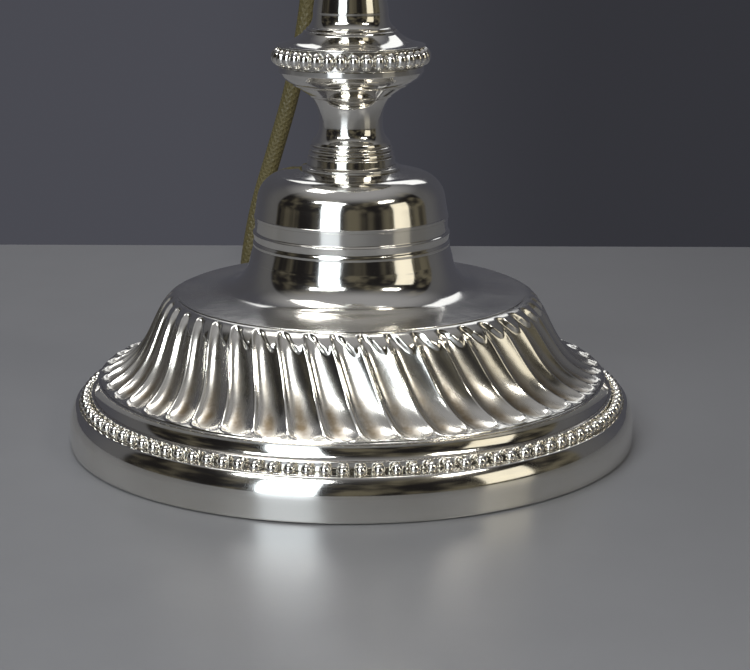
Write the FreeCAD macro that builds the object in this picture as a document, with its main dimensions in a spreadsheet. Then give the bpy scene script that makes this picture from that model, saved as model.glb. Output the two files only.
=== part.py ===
"""Candlestick table lamp: a swirl-fluted, beaded, silver-plated stick with a bayonet lampholder and flex."""

import FreeCAD
import Part
import Sketcher

import math
import os

from FreeCAD import Placement, Rotation, Vector

# Driving dimensions in millimetres, with angles in degrees and counts.
SIZES = {
    # sheet metal and clearances
    "wall": 1.4,
    "slip": 0.1,
    "gap": 0.4,
    "reed": 0.35,
    "reed_height": 0.7,
    # foot
    "foot_radius": 70.0,
    "collar_taper": 1.7,
    "channel_floor": 9.4,
    "outer_lip": 0.6,
    "inner_lip": 2.8,
    "inner_lip_land": 0.7,
    "foot_seat": 16.8,
    "seat_fillet": 0.5,
    "seat_width": 4.5,
    "step_bend": 6.0,
    "rim_to_beads": 4.0,
    "foot_bead_radius": 1.45,
    "foot_bead_count": 106,
    "bead_sink": 0.15,
    "bead_strip": 0.6,
    "strip_margin": 0.4,
    # fluted cove
    "beads_to_cove": 4.0,
    "cove_run": 18.0,
    "cove_height": 19.2,
    "cove_edge": 0.6,
    "cove_top_pull": 6.0,
    "cove_top_lean": 4.5,
    "cove_foot_pull": 13.0,
    "cove_foot_lift": 2.1,
    "cove_wall": 3.0,
    "plateau_wall": 1.6,
    "flute_count": 46,
    "flute_depth": 1.5,
    "flute_twist": 10.0,
    # what the foot holds
    "pad_thickness": 1.5,
    "nut_recess_radius": 12.5,
    "nut_recess_height": 7.5,
    "rod_radius": 5.0,
    "rod_bore": 3.5,
    "rod_tail": 1.8,
    "washer_radius": 10.0,
    "washer_thickness": 1.2,
    "nut_circumradius": 8.1,
    "nut_height": 3.5,
    # bell
    "flange_margin": 1.0,
    "flange_edge": 0.7,
    "bell_foot_radius": 31.6,
    "bell_foot_rise": 1.6,
    "bell_waist_radius": 24.9,
    "bell_waist_rise": 8.8,
    "bell_flare_bend": 8.5,
    "bell_radius": 24.0,
    "lower_reed_rise": 12.0,
    "undercut_depth": 0.6,
    "undercut_rise": 15.2,
    "bell_wall_radius": 23.1,
    "upper_reed_rise": 18.6,
    "dome_radius": 22.0,
    "dome_rise": 24.0,
    "dome_bend": 7.5,
    "dome_top_radius": 16.3,
    "dome_top_drop": 0.8,
    "crown_radius": 12.6,
    "bell_height": 30.4,
    # lower baluster
    "baluster_ring_radius": 12.0,
    "baluster_band_radius": 10.6,
    "baluster_band_height": 4.7,
    "baluster_neck_radius": 7.4,
    "baluster_neck_rise": 12.2,
    "baluster_neck_height": 1.4,
    "baluster_neck_bend": 7.0,
    "baluster_step_radius": 11.0,
    "baluster_step_rise": 19.8,
    "baluster_cup_bend": 6.5,
    "knop_radius": 17.5,
    "baluster_height": 25.0,
    # knop beads and cover
    "knop_bead_circle": 17.3,
    "knop_bead_half_height": 2.1,
    "knop_bead_half_width": 1.35,
    "knop_bead_reach": 2.0,
    "knop_bead_count": 37,
    "knop_band_height": 4.6,
    "band_width": 3.2,
    "cover_radius": 17.9,
    "cover_edge": 0.6,
    "cover_flare_bend": 22.0,
    "cover_step_radius": 10.5,
    "cover_step_rise": 5.9,
    "cover_neck_bend": 9.5,
    "neck_radius": 8.5,
    "cover_height": 12.0,
    # column
    "column_ring_radius": 11.2,
    "column_ring_rise": 4.2,
    "column_ring_height": 2.0,
    "column_foot_radius": 9.4,
    "column_foot_rise": 10.0,
    "column_head_radius": 13.4,
    "column_head_drop": 7.5,
    "column_flare_bend": 8.0,
    "column_lip_radius": 15.6,
    "column_height": 91.5,
    "column_bead_circle": 15.2,
    "column_bead_radius": 1.5,
    "column_bead_count": 31,
    "column_band_height": 3.6,
    # shoulder
    "shoulder_radius": 15.5,
    "shoulder_bend": 13.0,
    "shoulder_ring_radius": 9.0,
    "shoulder_ring_rise": 11.5,
    "shoulder_neck_radius": 7.4,
    "shoulder_neck_rise": 19.5,
    "shoulder_neck_bend": 14.0,
    "shoulder_lip_radius": 10.2,
    "shoulder_height": 27.0,
    # candle cup
    "cup_belly_radius": 17.2,
    "cup_belly_rise": 17.0,
    "cup_belly_bend": 20.0,
    "cup_waist_radius": 15.2,
    "cup_waist_drop": 5.5,
    "cup_lip_radius": 17.4,
    "cup_height": 35.0,
    "socket_radius": 12.0,
    "socket_depth": 21.0,
    # drip pan
    "spigot_wall": 1.3,
    "spigot_length": 18.0,
    "pan_radius": 26.6,
    "pan_floor": 1.6,
    "pan_depth": 5.0,
    "pan_rim_width": 3.0,
    "pan_bend": 14.0,
    "pan_bead_radius": 1.3,
    "pan_bead_count": 48,
    # lampholder bush, lock nut and cap
    "bush_flange_radius": 12.5,
    "bush_flange": 2.4,
    "bush_nose_radius": 7.6,
    "bush_nose": 4.9,
    "lock_nut_height": 3.0,
    "cap_neck_radius": 8.0,
    "cap_neck_height": 6.5,
    "cap_radius": 16.0,
    "cap_shoulder_rise": 13.0,
    "cap_bend": 9.0,
    "cap_height": 24.0,
    "cap_ledge": 1.1,
    "cap_floor": 8.2,
    "rod_in_cap": 7.0,
    "boss_radius": 5.2,
    "boss_reach": 19.0,
    "boss_start": 13.2,
    "entry_rise": 15.5,
    # insulating core, plungers and terminals
    "core_flange": 3.0,
    "core_radius": 11.3,
    "core_foot_radius": 9.6,
    "core_foot_rise": 12.0,
    "core_head_rise": 33.0,
    "plunger_spacing": 5.6,
    "plunger_radius": 2.1,
    "plunger_hole_radius": 2.4,
    "plunger_seat_rise": 20.0,
    "plunger_foot_rise": 27.0,
    "plunger_head_rise": 38.4,
    "spring_radius": 1.6,
    "spring_wire_radius": 0.25,
    "spring_turns": 6,
    "terminal_width": 4.0,
    "terminal_depth": 3.0,
    "terminal_height": 3.0,
    "screw_radius": 1.1,
    "screw_length": 1.2,
    "lead_radius": 0.6,
    # switch bar
    "bar_radius": 2.2,
    "bar_rise": 17.0,
    "bar_travel": 5.0,
    "knob_radius": 3.1,
    "knob_length": 2.6,
    # bayonet skirt and shade ring
    "skirt_flange": 3.0,
    "skirt_radius": 13.0,
    "skirt_height": 36.0,
    "bayonet_radius": 11.15,
    "bayonet_depth": 21.0,
    "chamber_radius": 11.6,
    "slot_width": 2.6,
    "slot_depth": 9.0,
    "slot_turn": 3.3,
    "ring_radius": 19.0,
    "ring_height": 6.0,
    "ring_clearance": 0.3,
    "knurl_radius": 0.6,
    "knurl_count": 40,
    # entry bush
    "spigot_radius": 3.6,
    "bush_collar_radius": 5.0,
    "bush_collar": 2.4,
    "relief_radius": 3.3,
    "relief_length": 20.0,
    "relief_bore": 1.7,
    # flex
    "flex_radius": 2.4,
    "coil_pitch": 5.4,
    "coil_radius": 37.0,
    "coil_turns_in": 3.75,
    "tie_thickness": 0.6,
    "tie_clearance": 0.3,
    "tie_width": 10.0,
    # plug
    "plug_width": 50.0,
    "plug_length": 48.0,
    "plug_cover_height": 14.0,
    "plug_base_height": 8.0,
    "plug_corner": 8.0,
    "plug_wall": 2.0,
    "pin_depth": 8.5,
    "pin_thickness": 4.0,
    "pin_width": 6.3,
    "pin_reach": 17.7,
    "earth_reach": 22.7,
    "earth_width": 8.0,
    "pin_half_spacing": 11.1,
    "pin_row": 13.0,
    "earth_spacing": 22.2,
    "fuse_radius": 3.15,
    "fuse_length": 25.4,
    "clip_length": 5.0,
    "clip_wall": 0.8,
    "grip_length": 6.0,
    "grip_width": 18.0,
    "plug_screw_radius": 1.75,
    "plug_screw_head": 3.4,
}

# Points that the hanging flex is drawn through, between its first and last straight runs.
FLEX_ROUTE = [
    (-1.0, 70.8, 282.5),
    (-2.3, 79.6, 268.5),
    (-3.8, 82.6, 249.0),
    (-5.6, 83.0, 213.0),
    (-8.4, 79.8, 170.0),
    (-9.8, 77.4, 130.0),
    (-12.4, 77.6, 101.5),
    (-17.2, 78.2, 78.5),
    (-22.6, 78.2, 59.5),
    (-27.4, 77.6, 42.5),
    (-30.2, 77.9, 24.1),
    (-30.8, 85.3, 11.0),
]
FLEX_FIRST_RUN = 15.6
FLEX_LAST_RUN = 14.8

# Points that the flex is drawn through from the coil to the plug, between its straight runs.
TAIL_ROUTE = [
    (-26.3, 150.0, 8.0),
    (-4.8, 168.5, 7.0),
]
TAIL_FIRST_RUN = 13.2
TAIL_LAST_RUN = 14.6

COIL_CENTRE = (6.0, 118.0)
PLUG_FRONT = 190.0
ENTRY_HEIGHT = 7.0

UP = Vector(0, 0, 1)
ORIGIN = Vector(0, 0, 0)


class Size:
    """A length that knows its value and the sheet expression that it comes from."""

    def __init__(self, value, text):
        self.value = float(value)
        self.text = text

    @staticmethod
    def of(other):
        return other if isinstance(other, Size) else Size(other, f"{float(other):g}")

    def join(self, other, sign, result):
        return Size(result, f"({self.text} {sign} {other.text})")

    def __add__(self, other):
        other = Size.of(other)
        return self.join(other, "+", self.value + other.value)

    def __sub__(self, other):
        other = Size.of(other)
        return self.join(other, "-", self.value - other.value)

    def __mul__(self, other):
        other = Size.of(other)
        return self.join(other, "*", self.value * other.value)

    def __truediv__(self, other):
        other = Size.of(other)
        return self.join(other, "/", self.value / other.value)

    def __neg__(self):
        return Size(-self.value, f"(0 - {self.text})")

    def __float__(self):
        return self.value

    def __int__(self):
        return int(self.value)


class Sizes:
    """The sheet's cells by their aliases."""

    def __getattr__(self, alias):
        return Size(SIZES[alias], f"Sizes.{alias}")


size = Sizes()
doc = FreeCAD.newDocument("candlestick_lamp")
pieces = []


def write_sheet():
    sheet = doc.addObject("Spreadsheet::Sheet", "Sizes")
    for row, (alias, value) in enumerate(SIZES.items(), start=1):
        sheet.set(f"A{row}", alias.replace("_", " "))
        sheet.set(f"B{row}", str(value))
        sheet.setAlias(f"B{row}", alias)
    doc.recompute()


def keep(thing):
    """Counts an object among the lamp's pieces, to be written under its label."""
    pieces.append(thing)
    return thing


def bind(thing, name, value):
    """Sets a property, by an expression where the value is a Size."""
    if isinstance(value, Size):
        thing.setExpression(name, value.text)
    else:
        setattr(thing, name, value)


def place(thing, x=0.0, y=0.0, z=0.0, axis=UP, turn=0.0):
    """Puts an object at a place that follows the sheet."""
    thing.Placement = Placement(Vector(float(x), float(y), float(z)), Rotation(axis, turn))
    for name, value in (("x", x), ("y", y), ("z", z)):
        if isinstance(value, Size):
            thing.setExpression(f"Placement.Base.{name}", value.text)
    return thing


def primitive(kind, label, **sizes):
    """Adds a Part primitive whose sizes follow the sheet."""
    thing = doc.addObject(f"Part::{kind}", label)
    thing.Label = label
    for name, value in sizes.items():
        bind(thing, name, value)
    return thing


def box(label, width, depth, height):
    return primitive("Box", label, Length=width, Width=depth, Height=height)


def cylinder(label, radius, height):
    return primitive("Cylinder", label, Radius=radius, Height=height)


def cut(label, base, tool):
    thing = doc.addObject("Part::Cut", label)
    thing.Label = label
    thing.Base = base
    thing.Tool = tool
    return thing


def fuse(label, shapes):
    thing = doc.addObject("Part::MultiFuse", label)
    thing.Label = label
    thing.Shapes = shapes
    return thing


def feature(label, shape):
    thing = doc.addObject("Part::Feature", label)
    thing.Label = label
    thing.Shape = shape
    return thing


def group(label, shapes):
    """One node of separate solids."""
    thing = doc.addObject("Part::Compound", label)
    thing.Label = label
    thing.Links = shapes
    return thing


def bent_centre(start, end, bend):
    """Centre of the arc from start to end; a positive bend lies on the left of the way to go."""
    middle = (start + end) * 0.5
    across = Vector(start.y - end.y, end.x - start.x, 0).normalize()
    half = (end - start).Length / 2
    reach = math.sqrt(max(bend * bend - half * half, 0.0))
    return middle + across * math.copysign(reach, bend)


def add_edge(sketch, start, end, bend):
    """Adds a line, or an arc of the radius bend, and tells which of its ends lies at start and at end."""
    if bend is None:
        return sketch.addGeometry(Part.LineSegment(start, end)), 1, 2
    centre = bent_centre(start, end, float(bend))
    first, last = (start, end) if float(bend) > 0 else (end, start)
    angles = [math.atan2(p.y - centre.y, p.x - centre.x) for p in (first, last)]
    circle = Part.Circle(centre, UP, abs(float(bend)))
    edge = sketch.addGeometry(Part.ArcOfCircle(circle, *angles))
    return (edge, 1, 2) if float(bend) > 0 else (edge, 2, 1)


def fix(sketch, kind, name, value, *where):
    """Adds a dimension that follows the sheet, or a point on an axis where the value is plain zero."""
    if not isinstance(value, Size) and float(value) == 0.0:
        axis = -2 if kind == "DistanceX" else -1
        sketch.addConstraint(Sketcher.Constraint("PointOnObject", where[-2], where[-1], axis))
        return
    index = sketch.addConstraint(Sketcher.Constraint(kind, *where, abs(float(value))))
    sketch.renameConstraint(index, name)
    if isinstance(value, Size):
        sketch.setExpression(f"Constraints.{name}", value.text)


def draw(sketch, corners):
    """Draws a closed outline through corners of (x, y) or (x, y, bend of the edge that leaves it)."""
    points = [Vector(float(c[0]), float(c[1]), 0) for c in corners]
    edges = []
    for i, corner in enumerate(corners):
        bend = corner[2] if len(corner) > 2 else None
        edges.append(add_edge(sketch, points[i], points[(i + 1) % len(points)], bend))
    for i, (edge, start, end) in enumerate(edges):
        following = edges[(i + 1) % len(edges)]
        sketch.addConstraint(Sketcher.Constraint("Coincident", edge, end, following[0], following[1]))
        fix(sketch, "DistanceX", f"across_{i}", corners[i][0], -1, 1, edge, start)
        fix(sketch, "DistanceY", f"level_{i}", corners[i][1], -1, 1, edge, start)
        if len(corners[i]) > 2:
            bend = corners[i][2]
            size_of_bend = bend if float(bend) > 0 else -bend
            fix(sketch, "Radius", f"bend_{i}", size_of_bend, edge)


def new_sketch(body, name, role):
    sketch = body.newObject("Sketcher::SketchObject", name)
    plane = [f for f in body.Origin.OriginFeatures if f.Role == role][0]
    sketch.AttachmentSupport = [(plane, "")]
    sketch.MapMode = "FlatFace"
    return sketch


def new_body(label):
    body = doc.addObject("PartDesign::Body", label)
    body.Label = label
    return body


def turned(label, corners):
    """A piece turned about the Z axis from its half outline."""
    body = new_body(label)
    sketch = new_sketch(body, f"{label}_outline", "XZ_Plane")
    draw(sketch, corners)
    turning = body.newObject("PartDesign::Revolution", f"{label}_turning")
    turning.Profile = sketch
    turning.ReferenceAxis = (sketch, ["V_Axis"])
    turning.Angle = 360.0
    sketch.Visibility = False
    body.Tip = turning
    return body


def plate(label, corners, height):
    """A flat piece cut to an outline on the ground plane."""
    body = new_body(label)
    sketch = new_sketch(body, f"{label}_outline", "XY_Plane")
    draw(sketch, corners)
    pad = body.newObject("PartDesign::Pad", f"{label}_pad")
    pad.Profile = sketch
    bind(pad, "Length", height)
    sketch.Visibility = False
    body.Tip = pad
    return body


# ---------------------------------------------------------------- radii in the foot, levels up the lamp

foot_bead_circle = size.foot_radius - size.rim_to_beads
cove_foot_radius = foot_bead_circle - size.beads_to_cove
cove_top_radius = cove_foot_radius - size.cove_run
flange_radius = cove_top_radius - size.flange_margin
plateau = size.foot_seat + size.cove_height
bell_top = plateau + size.bell_height
knop_level = bell_top + size.baluster_height
cover_level = knop_level + size.knop_band_height
column_level = cover_level + size.cover_height
column_top = column_level + size.column_height
shoulder_level = column_top + size.column_band_height
cup_level = shoulder_level + size.shoulder_height
pan_level = cup_level + size.cup_height
nut_level = pan_level + size.pan_floor + size.bush_nose
cap_level = nut_level + size.lock_nut_height
skirt_level = cap_level + size.cap_height
mouth_level = skirt_level + size.skirt_height
rod_hole = size.rod_radius + size.slip


# ---------------------------------------------------------------- rings of repeated sectors


def wedge(corners, count):
    """One sector of a turned ring, with its middle on the X axis."""
    points = [Vector(float(r), 0, float(z)) for r, z in corners]
    face = Part.Face(Part.makePolygon(points + [points[0]]))
    sector = face.revolve(ORIGIN, UP, 360.0 / count)
    sector.rotate(ORIGIN, UP, -180.0 / count)
    return sector


def on_end(face, count):
    """Tells whether a face is one of the two flat ends of a sector."""
    centre = face.CenterOfMass
    turn = abs(math.degrees(math.atan2(centre.y, centre.x)))
    return isinstance(face.Surface, Part.Plane) and abs(turn - 180.0 / count) < 1e-4


def ring_of(sector, count):
    """Closes a full ring out of one sector: its faces, without the ends, repeated round the Z axis."""
    skin = [face for face in sector.Faces if not on_end(face, count)]
    faces = []
    for i in range(count):
        for face in skin:
            copy = face.copy()
            copy.rotate(ORIGIN, UP, 360.0 * i / count)
            faces.append(copy)
    shell = Part.Shell(faces)
    shell.sewShape()
    solid = Part.Solid(shell)
    if solid.Volume < 0:
        solid.reverse()
    return solid


def upright_bead_ring(label, circle, radius, count, level):
    """A strip of round beads that stand up from a flat band on a level."""
    rise = float(size.bead_strip)
    margin = float(radius) - float(size.strip_margin)
    band = wedge(
        [
            (float(circle) - margin, 0),
            (float(circle) + margin, 0),
            (float(circle) + margin, rise),
            (float(circle) - margin, rise),
        ],
        int(count),
    )
    centre = float(radius) - float(size.bead_sink)
    flat = math.degrees(math.asin(centre / float(radius)))
    bead = Part.makeSphere(float(radius), Vector(float(circle), 0, centre), UP, -flat, 90, 360)
    sector = band.fuse(bead).removeSplitter()
    ring = feature(label, ring_of(sector, int(count)))
    return place(ring, z=level)


def belt_bead_ring(label, circle, reach, half_width, half_height, count, height, level):
    """A belt of tall beads that bulge outwards from an upright band."""
    inner = float(circle) - float(size.band_width)
    band = wedge(
        [
            (inner, 0),
            (float(circle), 0),
            (float(circle), float(height)),
            (inner, float(height)),
        ],
        int(count),
    )
    ball = Part.makeSphere(1.0, ORIGIN, Vector(1, 0, 0))
    stretch = FreeCAD.Matrix()
    stretch.scale(float(reach), float(half_width), float(half_height))
    bead = ball.transformGeometry(stretch)
    bead.translate(Vector(float(circle), 0, float(height) / 2))
    ring = feature(label, ring_of(band.fuse(bead), int(count)))
    return place(ring, z=level)


# ---------------------------------------------------------------- foot


def make_foot_rim():
    channel_outer = foot_bead_circle + size.foot_bead_radius
    channel_inner = foot_bead_circle - size.foot_bead_radius
    lip_radius = size.foot_radius - size.collar_taper
    step_radius = cove_foot_radius + size.seat_fillet
    under_seat = size.foot_seat - size.wall
    under_channel = size.channel_floor - size.wall
    return turned(
        "foot_rim",
        [
            (size.foot_radius, 0),
            (lip_radius, size.channel_floor + size.outer_lip),
            (channel_outer, size.channel_floor + size.outer_lip),
            (channel_outer, size.channel_floor),
            (channel_inner, size.channel_floor),
            (channel_inner, size.channel_floor + size.inner_lip),
            (channel_inner - size.inner_lip_land, size.channel_floor + size.inner_lip, -size.step_bend),
            (step_radius, size.foot_seat),
            (cove_foot_radius - size.seat_width, size.foot_seat),
            (cove_foot_radius - size.seat_width, under_seat),
            (step_radius - size.wall + 0.2, under_seat),
            (channel_inner - size.wall, under_channel),
            (lip_radius - size.wall, under_channel),
            (size.foot_radius - size.wall, 0),
        ],
    )


def make_foot_bead_ring():
    return upright_bead_ring(
        "foot_bead_ring",
        foot_bead_circle,
        size.foot_bead_radius,
        size.foot_bead_count,
        size.channel_floor,
    )


def cove_poles(inset=0.0, drop=0.0):
    """Poles of the cove's ogee from the plateau's edge to the seat, or of its inner face."""
    top_radius = float(cove_top_radius) - inset
    top_level = float(plateau) - drop
    foot_radius = float(cove_foot_radius) - 2 * inset
    foot_level = float(size.foot_seat) + float(size.cove_edge) - (float(size.cove_edge) if inset else 0)
    return [
        Vector(top_radius, 0, top_level),
        Vector(top_radius + float(size.cove_top_lean), 0, top_level - float(size.cove_top_pull)),
        Vector(
            float(cove_foot_radius) - float(size.cove_foot_pull) - 1.5 * inset,
            0,
            foot_level + float(size.cove_foot_lift),
        ),
        Vector(foot_radius, 0, foot_level),
    ]


def flute_patch(curve, count, twist, depth, across=9, along=15):
    """The outer face of one swirling flute, cut below a curve that is turned about Z."""
    rows = []
    for i in range(across):
        u = i / (across - 1)
        row = []
        for j in range(along):
            v = (1 - math.cos(math.pi * j / (along - 1))) / 2
            point = curve.value(v)
            tangent = curve.tangent(v)[0]
            hollow = depth * (1 - (2 * u - 1) ** 2) * math.sqrt(max(0.0, math.sin(math.pi * v)))
            radius = point.x + tangent.z * hollow
            turn = 2 * math.pi * (u - 0.5) / count + twist * v
            level = point.z - tangent.x * hollow
            row.append(Vector(radius * math.cos(turn), radius * math.sin(turn), level))
        rows.append(row)
    surface = Part.BSplineSurface()
    surface.interpolate(rows)
    return surface.toShape()


def level_wire(shell, level):
    """The wire of the edges that lie on a level."""
    edges = [
        edge
        for edge in shell.Edges
        if abs(edge.BoundBox.ZMin - level) < 1e-4 and abs(edge.BoundBox.ZMax - level) < 1e-4
    ]
    return Part.Wire(Part.__sortEdges__(edges))


def fluted_block():
    """The solid below the fluted cove, from the seat to the plateau."""
    count = int(size.flute_count)
    curve = Part.BezierCurve()
    curve.setPoles(cove_poles())
    patch = flute_patch(curve, count, math.radians(float(size.flute_twist)), float(size.flute_depth))
    foot_edge = min(patch.Edges, key=lambda edge: edge.CenterOfMass.z)
    skirt = foot_edge.extrude(Vector(0, 0, -float(size.cove_edge)))
    faces = []
    for i in range(count):
        for face in (patch, skirt):
            copy = face.copy()
            copy.rotate(ORIGIN, UP, 360.0 * i / count)
            faces.append(copy)
    sides = Part.Shell(faces)
    sides.sewShape()
    ends = [Part.Face(level_wire(sides, float(level))) for level in (plateau, size.foot_seat)]
    shell = Part.Shell(sides.Faces + ends)
    shell.sewShape()
    solid = Part.Solid(shell)
    if solid.Volume < 0:
        solid.reverse()
    return solid


def cove_hollow():
    """The hollow under the cove and the plateau."""
    curve = Part.BezierCurve()
    curve.setPoles(cove_poles(float(size.cove_wall), float(size.plateau_wall)))
    top, foot = curve.StartPoint, curve.EndPoint
    below = Vector(foot.x, 0, foot.z - float(size.foot_seat) / 2)
    corners = [foot, below, Vector(0, 0, below.z), Vector(0, 0, top.z), top]
    edges = [curve.toShape()]
    edges += [Part.LineSegment(a, b).toShape() for a, b in zip(corners, corners[1:])]
    return Part.Face(Part.Wire(edges)).revolve(ORIGIN, UP, 360)


def make_fluted_foot():
    block = feature("fluted_foot_block", fluted_block())
    hollow = feature("fluted_foot_hollow", cove_hollow())
    hole = place(
        cylinder("fluted_foot_hole", rod_hole, size.cove_height), z=plateau - size.cove_height / 2
    )
    return cut("fluted_foot", cut("fluted_foot_shell", block, hollow), hole)


def make_base_weight():
    top = size.foot_seat - size.wall
    shelf = size.channel_floor - size.wall - size.gap
    wide = size.foot_radius - size.collar_taper - size.wall - size.gap
    narrow = foot_bead_circle - size.foot_bead_radius - size.wall * 2 - size.gap * 2
    recess_top = size.pad_thickness + size.nut_recess_height
    return turned(
        "base_weight",
        [
            (rod_hole, recess_top),
            (size.nut_recess_radius, recess_top),
            (size.nut_recess_radius, size.pad_thickness),
            (wide, size.pad_thickness),
            (wide, shelf),
            (narrow, shelf),
            (narrow, top),
            (rod_hole, top),
        ],
    )


def make_baize_pad():
    radius = size.foot_radius - size.wall - size.gap * 2
    return turned("baize_pad", [(0, 0), (radius, 0), (radius, size.pad_thickness), (0, size.pad_thickness)])


# ---------------------------------------------------------------- tie rod and its fasteners


def tube_piece(label, outer, inner, start, end):
    return turned(label, [(inner, start), (outer, start), (outer, end), (inner, end)])


def hex_nut(label, height, level):
    """A hexagon nut on the tie rod; its thread is a plain bore."""
    prism = primitive("Prism", f"{label}_prism", Circumradius=size.nut_circumradius, Height=height)
    prism.Polygon = 6
    bore = cylinder(f"{label}_bore", size.rod_radius, height * 3)
    place(bore, z=-height)
    return place(cut(label, prism, bore), z=level)


def make_fasteners():
    recess_top = size.pad_thickness + size.nut_recess_height
    washer_foot = recess_top - size.washer_thickness
    nut_foot = washer_foot - size.nut_height
    rod_foot = nut_foot - size.rod_tail
    return [
        tube_piece("tie_rod", size.rod_radius, size.rod_bore, rod_foot, cap_level + size.rod_in_cap),
        tube_piece("rod_washer", size.washer_radius, rod_hole, washer_foot, recess_top),
        hex_nut("rod_nut", size.nut_height, nut_foot),
        hex_nut("lock_nut", size.lock_nut_height, nut_level),
    ]


# ---------------------------------------------------------------- stick


def make_bell():
    inner_waist = size.bell_waist_radius - size.wall * 1.7
    inner_wall = size.bell_wall_radius - size.wall
    reed_foot = plateau + size.lower_reed_rise
    return turned(
        "bell",
        [
            (flange_radius, plateau),
            (flange_radius, plateau + size.flange_edge),
            (size.bell_foot_radius, plateau + size.bell_foot_rise, -size.bell_flare_bend),
            (size.bell_waist_radius, plateau + size.bell_waist_rise),
            (size.bell_radius, reed_foot),
            (size.bell_radius + size.reed, reed_foot),
            (size.bell_radius + size.reed, reed_foot + size.reed_height),
            (size.bell_radius - size.undercut_depth, reed_foot + size.reed_height * 2),
            (size.bell_radius + size.reed, plateau + size.undercut_rise),
            (size.bell_wall_radius, plateau + size.undercut_rise + size.reed),
            (size.bell_wall_radius, plateau + size.upper_reed_rise),
            (size.bell_wall_radius + size.reed, plateau + size.upper_reed_rise),
            (
                size.bell_wall_radius + size.reed,
                plateau + size.upper_reed_rise + size.reed_height,
            ),
            (size.bell_wall_radius, plateau + size.upper_reed_rise + size.reed_height),
            (size.dome_radius, plateau + size.dome_rise, size.dome_bend),
            (size.dome_top_radius, bell_top - size.dome_top_drop),
            (size.crown_radius, bell_top),
            (rod_hole, bell_top),
            (rod_hole, bell_top - size.wall),
            (
                size.dome_top_radius - size.wall / 2,
                bell_top - size.dome_top_drop - size.wall,
                -(size.dome_bend - size.wall),
            ),
            (size.dome_radius - size.wall, plateau + size.dome_rise - size.wall / 2),
            (inner_wall, plateau + size.undercut_rise),
            (inner_waist, plateau + size.bell_waist_rise, size.bell_flare_bend + size.wall),
            (size.bell_foot_radius - size.wall * 1.5, plateau),
        ],
    )


def make_lower_baluster():
    z = bell_top
    band_foot = size.reed_height * 2
    band_top = band_foot + size.baluster_band_height - size.reed_height * 2
    return turned(
        "lower_baluster",
        [
            (size.baluster_ring_radius, z),
            (size.baluster_ring_radius, z + size.reed_height * 1.3),
            (size.baluster_band_radius, z + band_foot),
            (size.baluster_band_radius - size.reed / 2, z + band_top),
            (size.baluster_band_radius + size.reed, z + band_top),
            (size.baluster_band_radius + size.reed, z + band_top + size.reed_height),
            (size.baluster_band_radius - size.reed * 2, z + band_top + size.reed_height * 1.7),
            (size.baluster_band_radius - size.reed * 1.5, z + band_top + size.reed_height * 3),
            (
                size.baluster_band_radius - size.reed * 4,
                z + band_top + size.reed_height * 4,
                -size.baluster_neck_bend,
            ),
            (size.baluster_neck_radius, z + size.baluster_neck_rise),
            (
                size.baluster_neck_radius,
                z + size.baluster_neck_rise + size.baluster_neck_height,
                -size.baluster_neck_bend,
            ),
            (size.baluster_step_radius - size.reed, z + size.baluster_step_rise - size.reed_height),
            (size.baluster_step_radius, z + size.baluster_step_rise),
            (
                size.baluster_step_radius + size.reed * 3,
                z + size.baluster_step_rise + size.reed,
                size.baluster_cup_bend,
            ),
            (size.knop_radius, knop_level - size.reed),
            (size.knop_radius, knop_level),
            (rod_hole, knop_level),
            (rod_hole, z),
        ],
    )


def make_knop_bead_ring():
    return belt_bead_ring(
        "knop_bead_ring",
        size.knop_bead_circle,
        size.knop_bead_reach,
        size.knop_bead_half_width,
        size.knop_bead_half_height,
        size.knop_bead_count,
        size.knop_band_height,
        knop_level,
    )


def make_knop_cover():
    z = cover_level
    return turned(
        "knop_cover",
        [
            (size.cover_radius, z),
            (size.cover_radius, z + size.cover_edge),
            (size.cover_radius - size.reed * 5, z + size.cover_edge * 2, -size.cover_flare_bend),
            (size.cover_step_radius, z + size.cover_step_rise),
            (size.cover_step_radius, z + size.cover_step_rise + size.reed, -size.cover_neck_bend),
            (size.neck_radius, column_level),
            (rod_hole, column_level),
            (rod_hole, z),
        ],
    )


def make_column():
    z = column_level
    ring_foot = z + size.column_ring_rise
    ring_top = ring_foot + size.column_ring_height
    return turned(
        "column",
        [
            (size.neck_radius, z, -size.column_flare_bend),
            (size.column_ring_radius - size.reed * 2, ring_foot),
            (size.column_ring_radius, ring_foot),
            (size.column_ring_radius, ring_top),
            (size.column_ring_radius - size.reed * 2, ring_top, -size.column_flare_bend),
            (size.column_foot_radius, z + size.column_foot_rise),
            (size.column_head_radius, z + size.column_height - size.column_head_drop, -size.column_flare_bend),
            (size.column_lip_radius, column_top - size.reed_height * 2),
            (size.column_lip_radius, column_top),
            (rod_hole, column_top),
            (rod_hole, column_top - size.wall * 2),
            (size.column_head_radius - size.wall, z + size.column_height - size.column_head_drop),
            (size.column_foot_radius - size.wall, z + size.column_foot_rise + size.wall),
            (rod_hole, z + size.column_foot_rise),
            (rod_hole, z),
        ],
    )


def make_column_bead_ring():
    return belt_bead_ring(
        "column_bead_ring",
        size.column_bead_circle,
        size.column_bead_radius,
        size.column_bead_radius,
        size.column_bead_radius,
        size.column_bead_count,
        size.column_band_height,
        column_top,
    )


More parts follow.
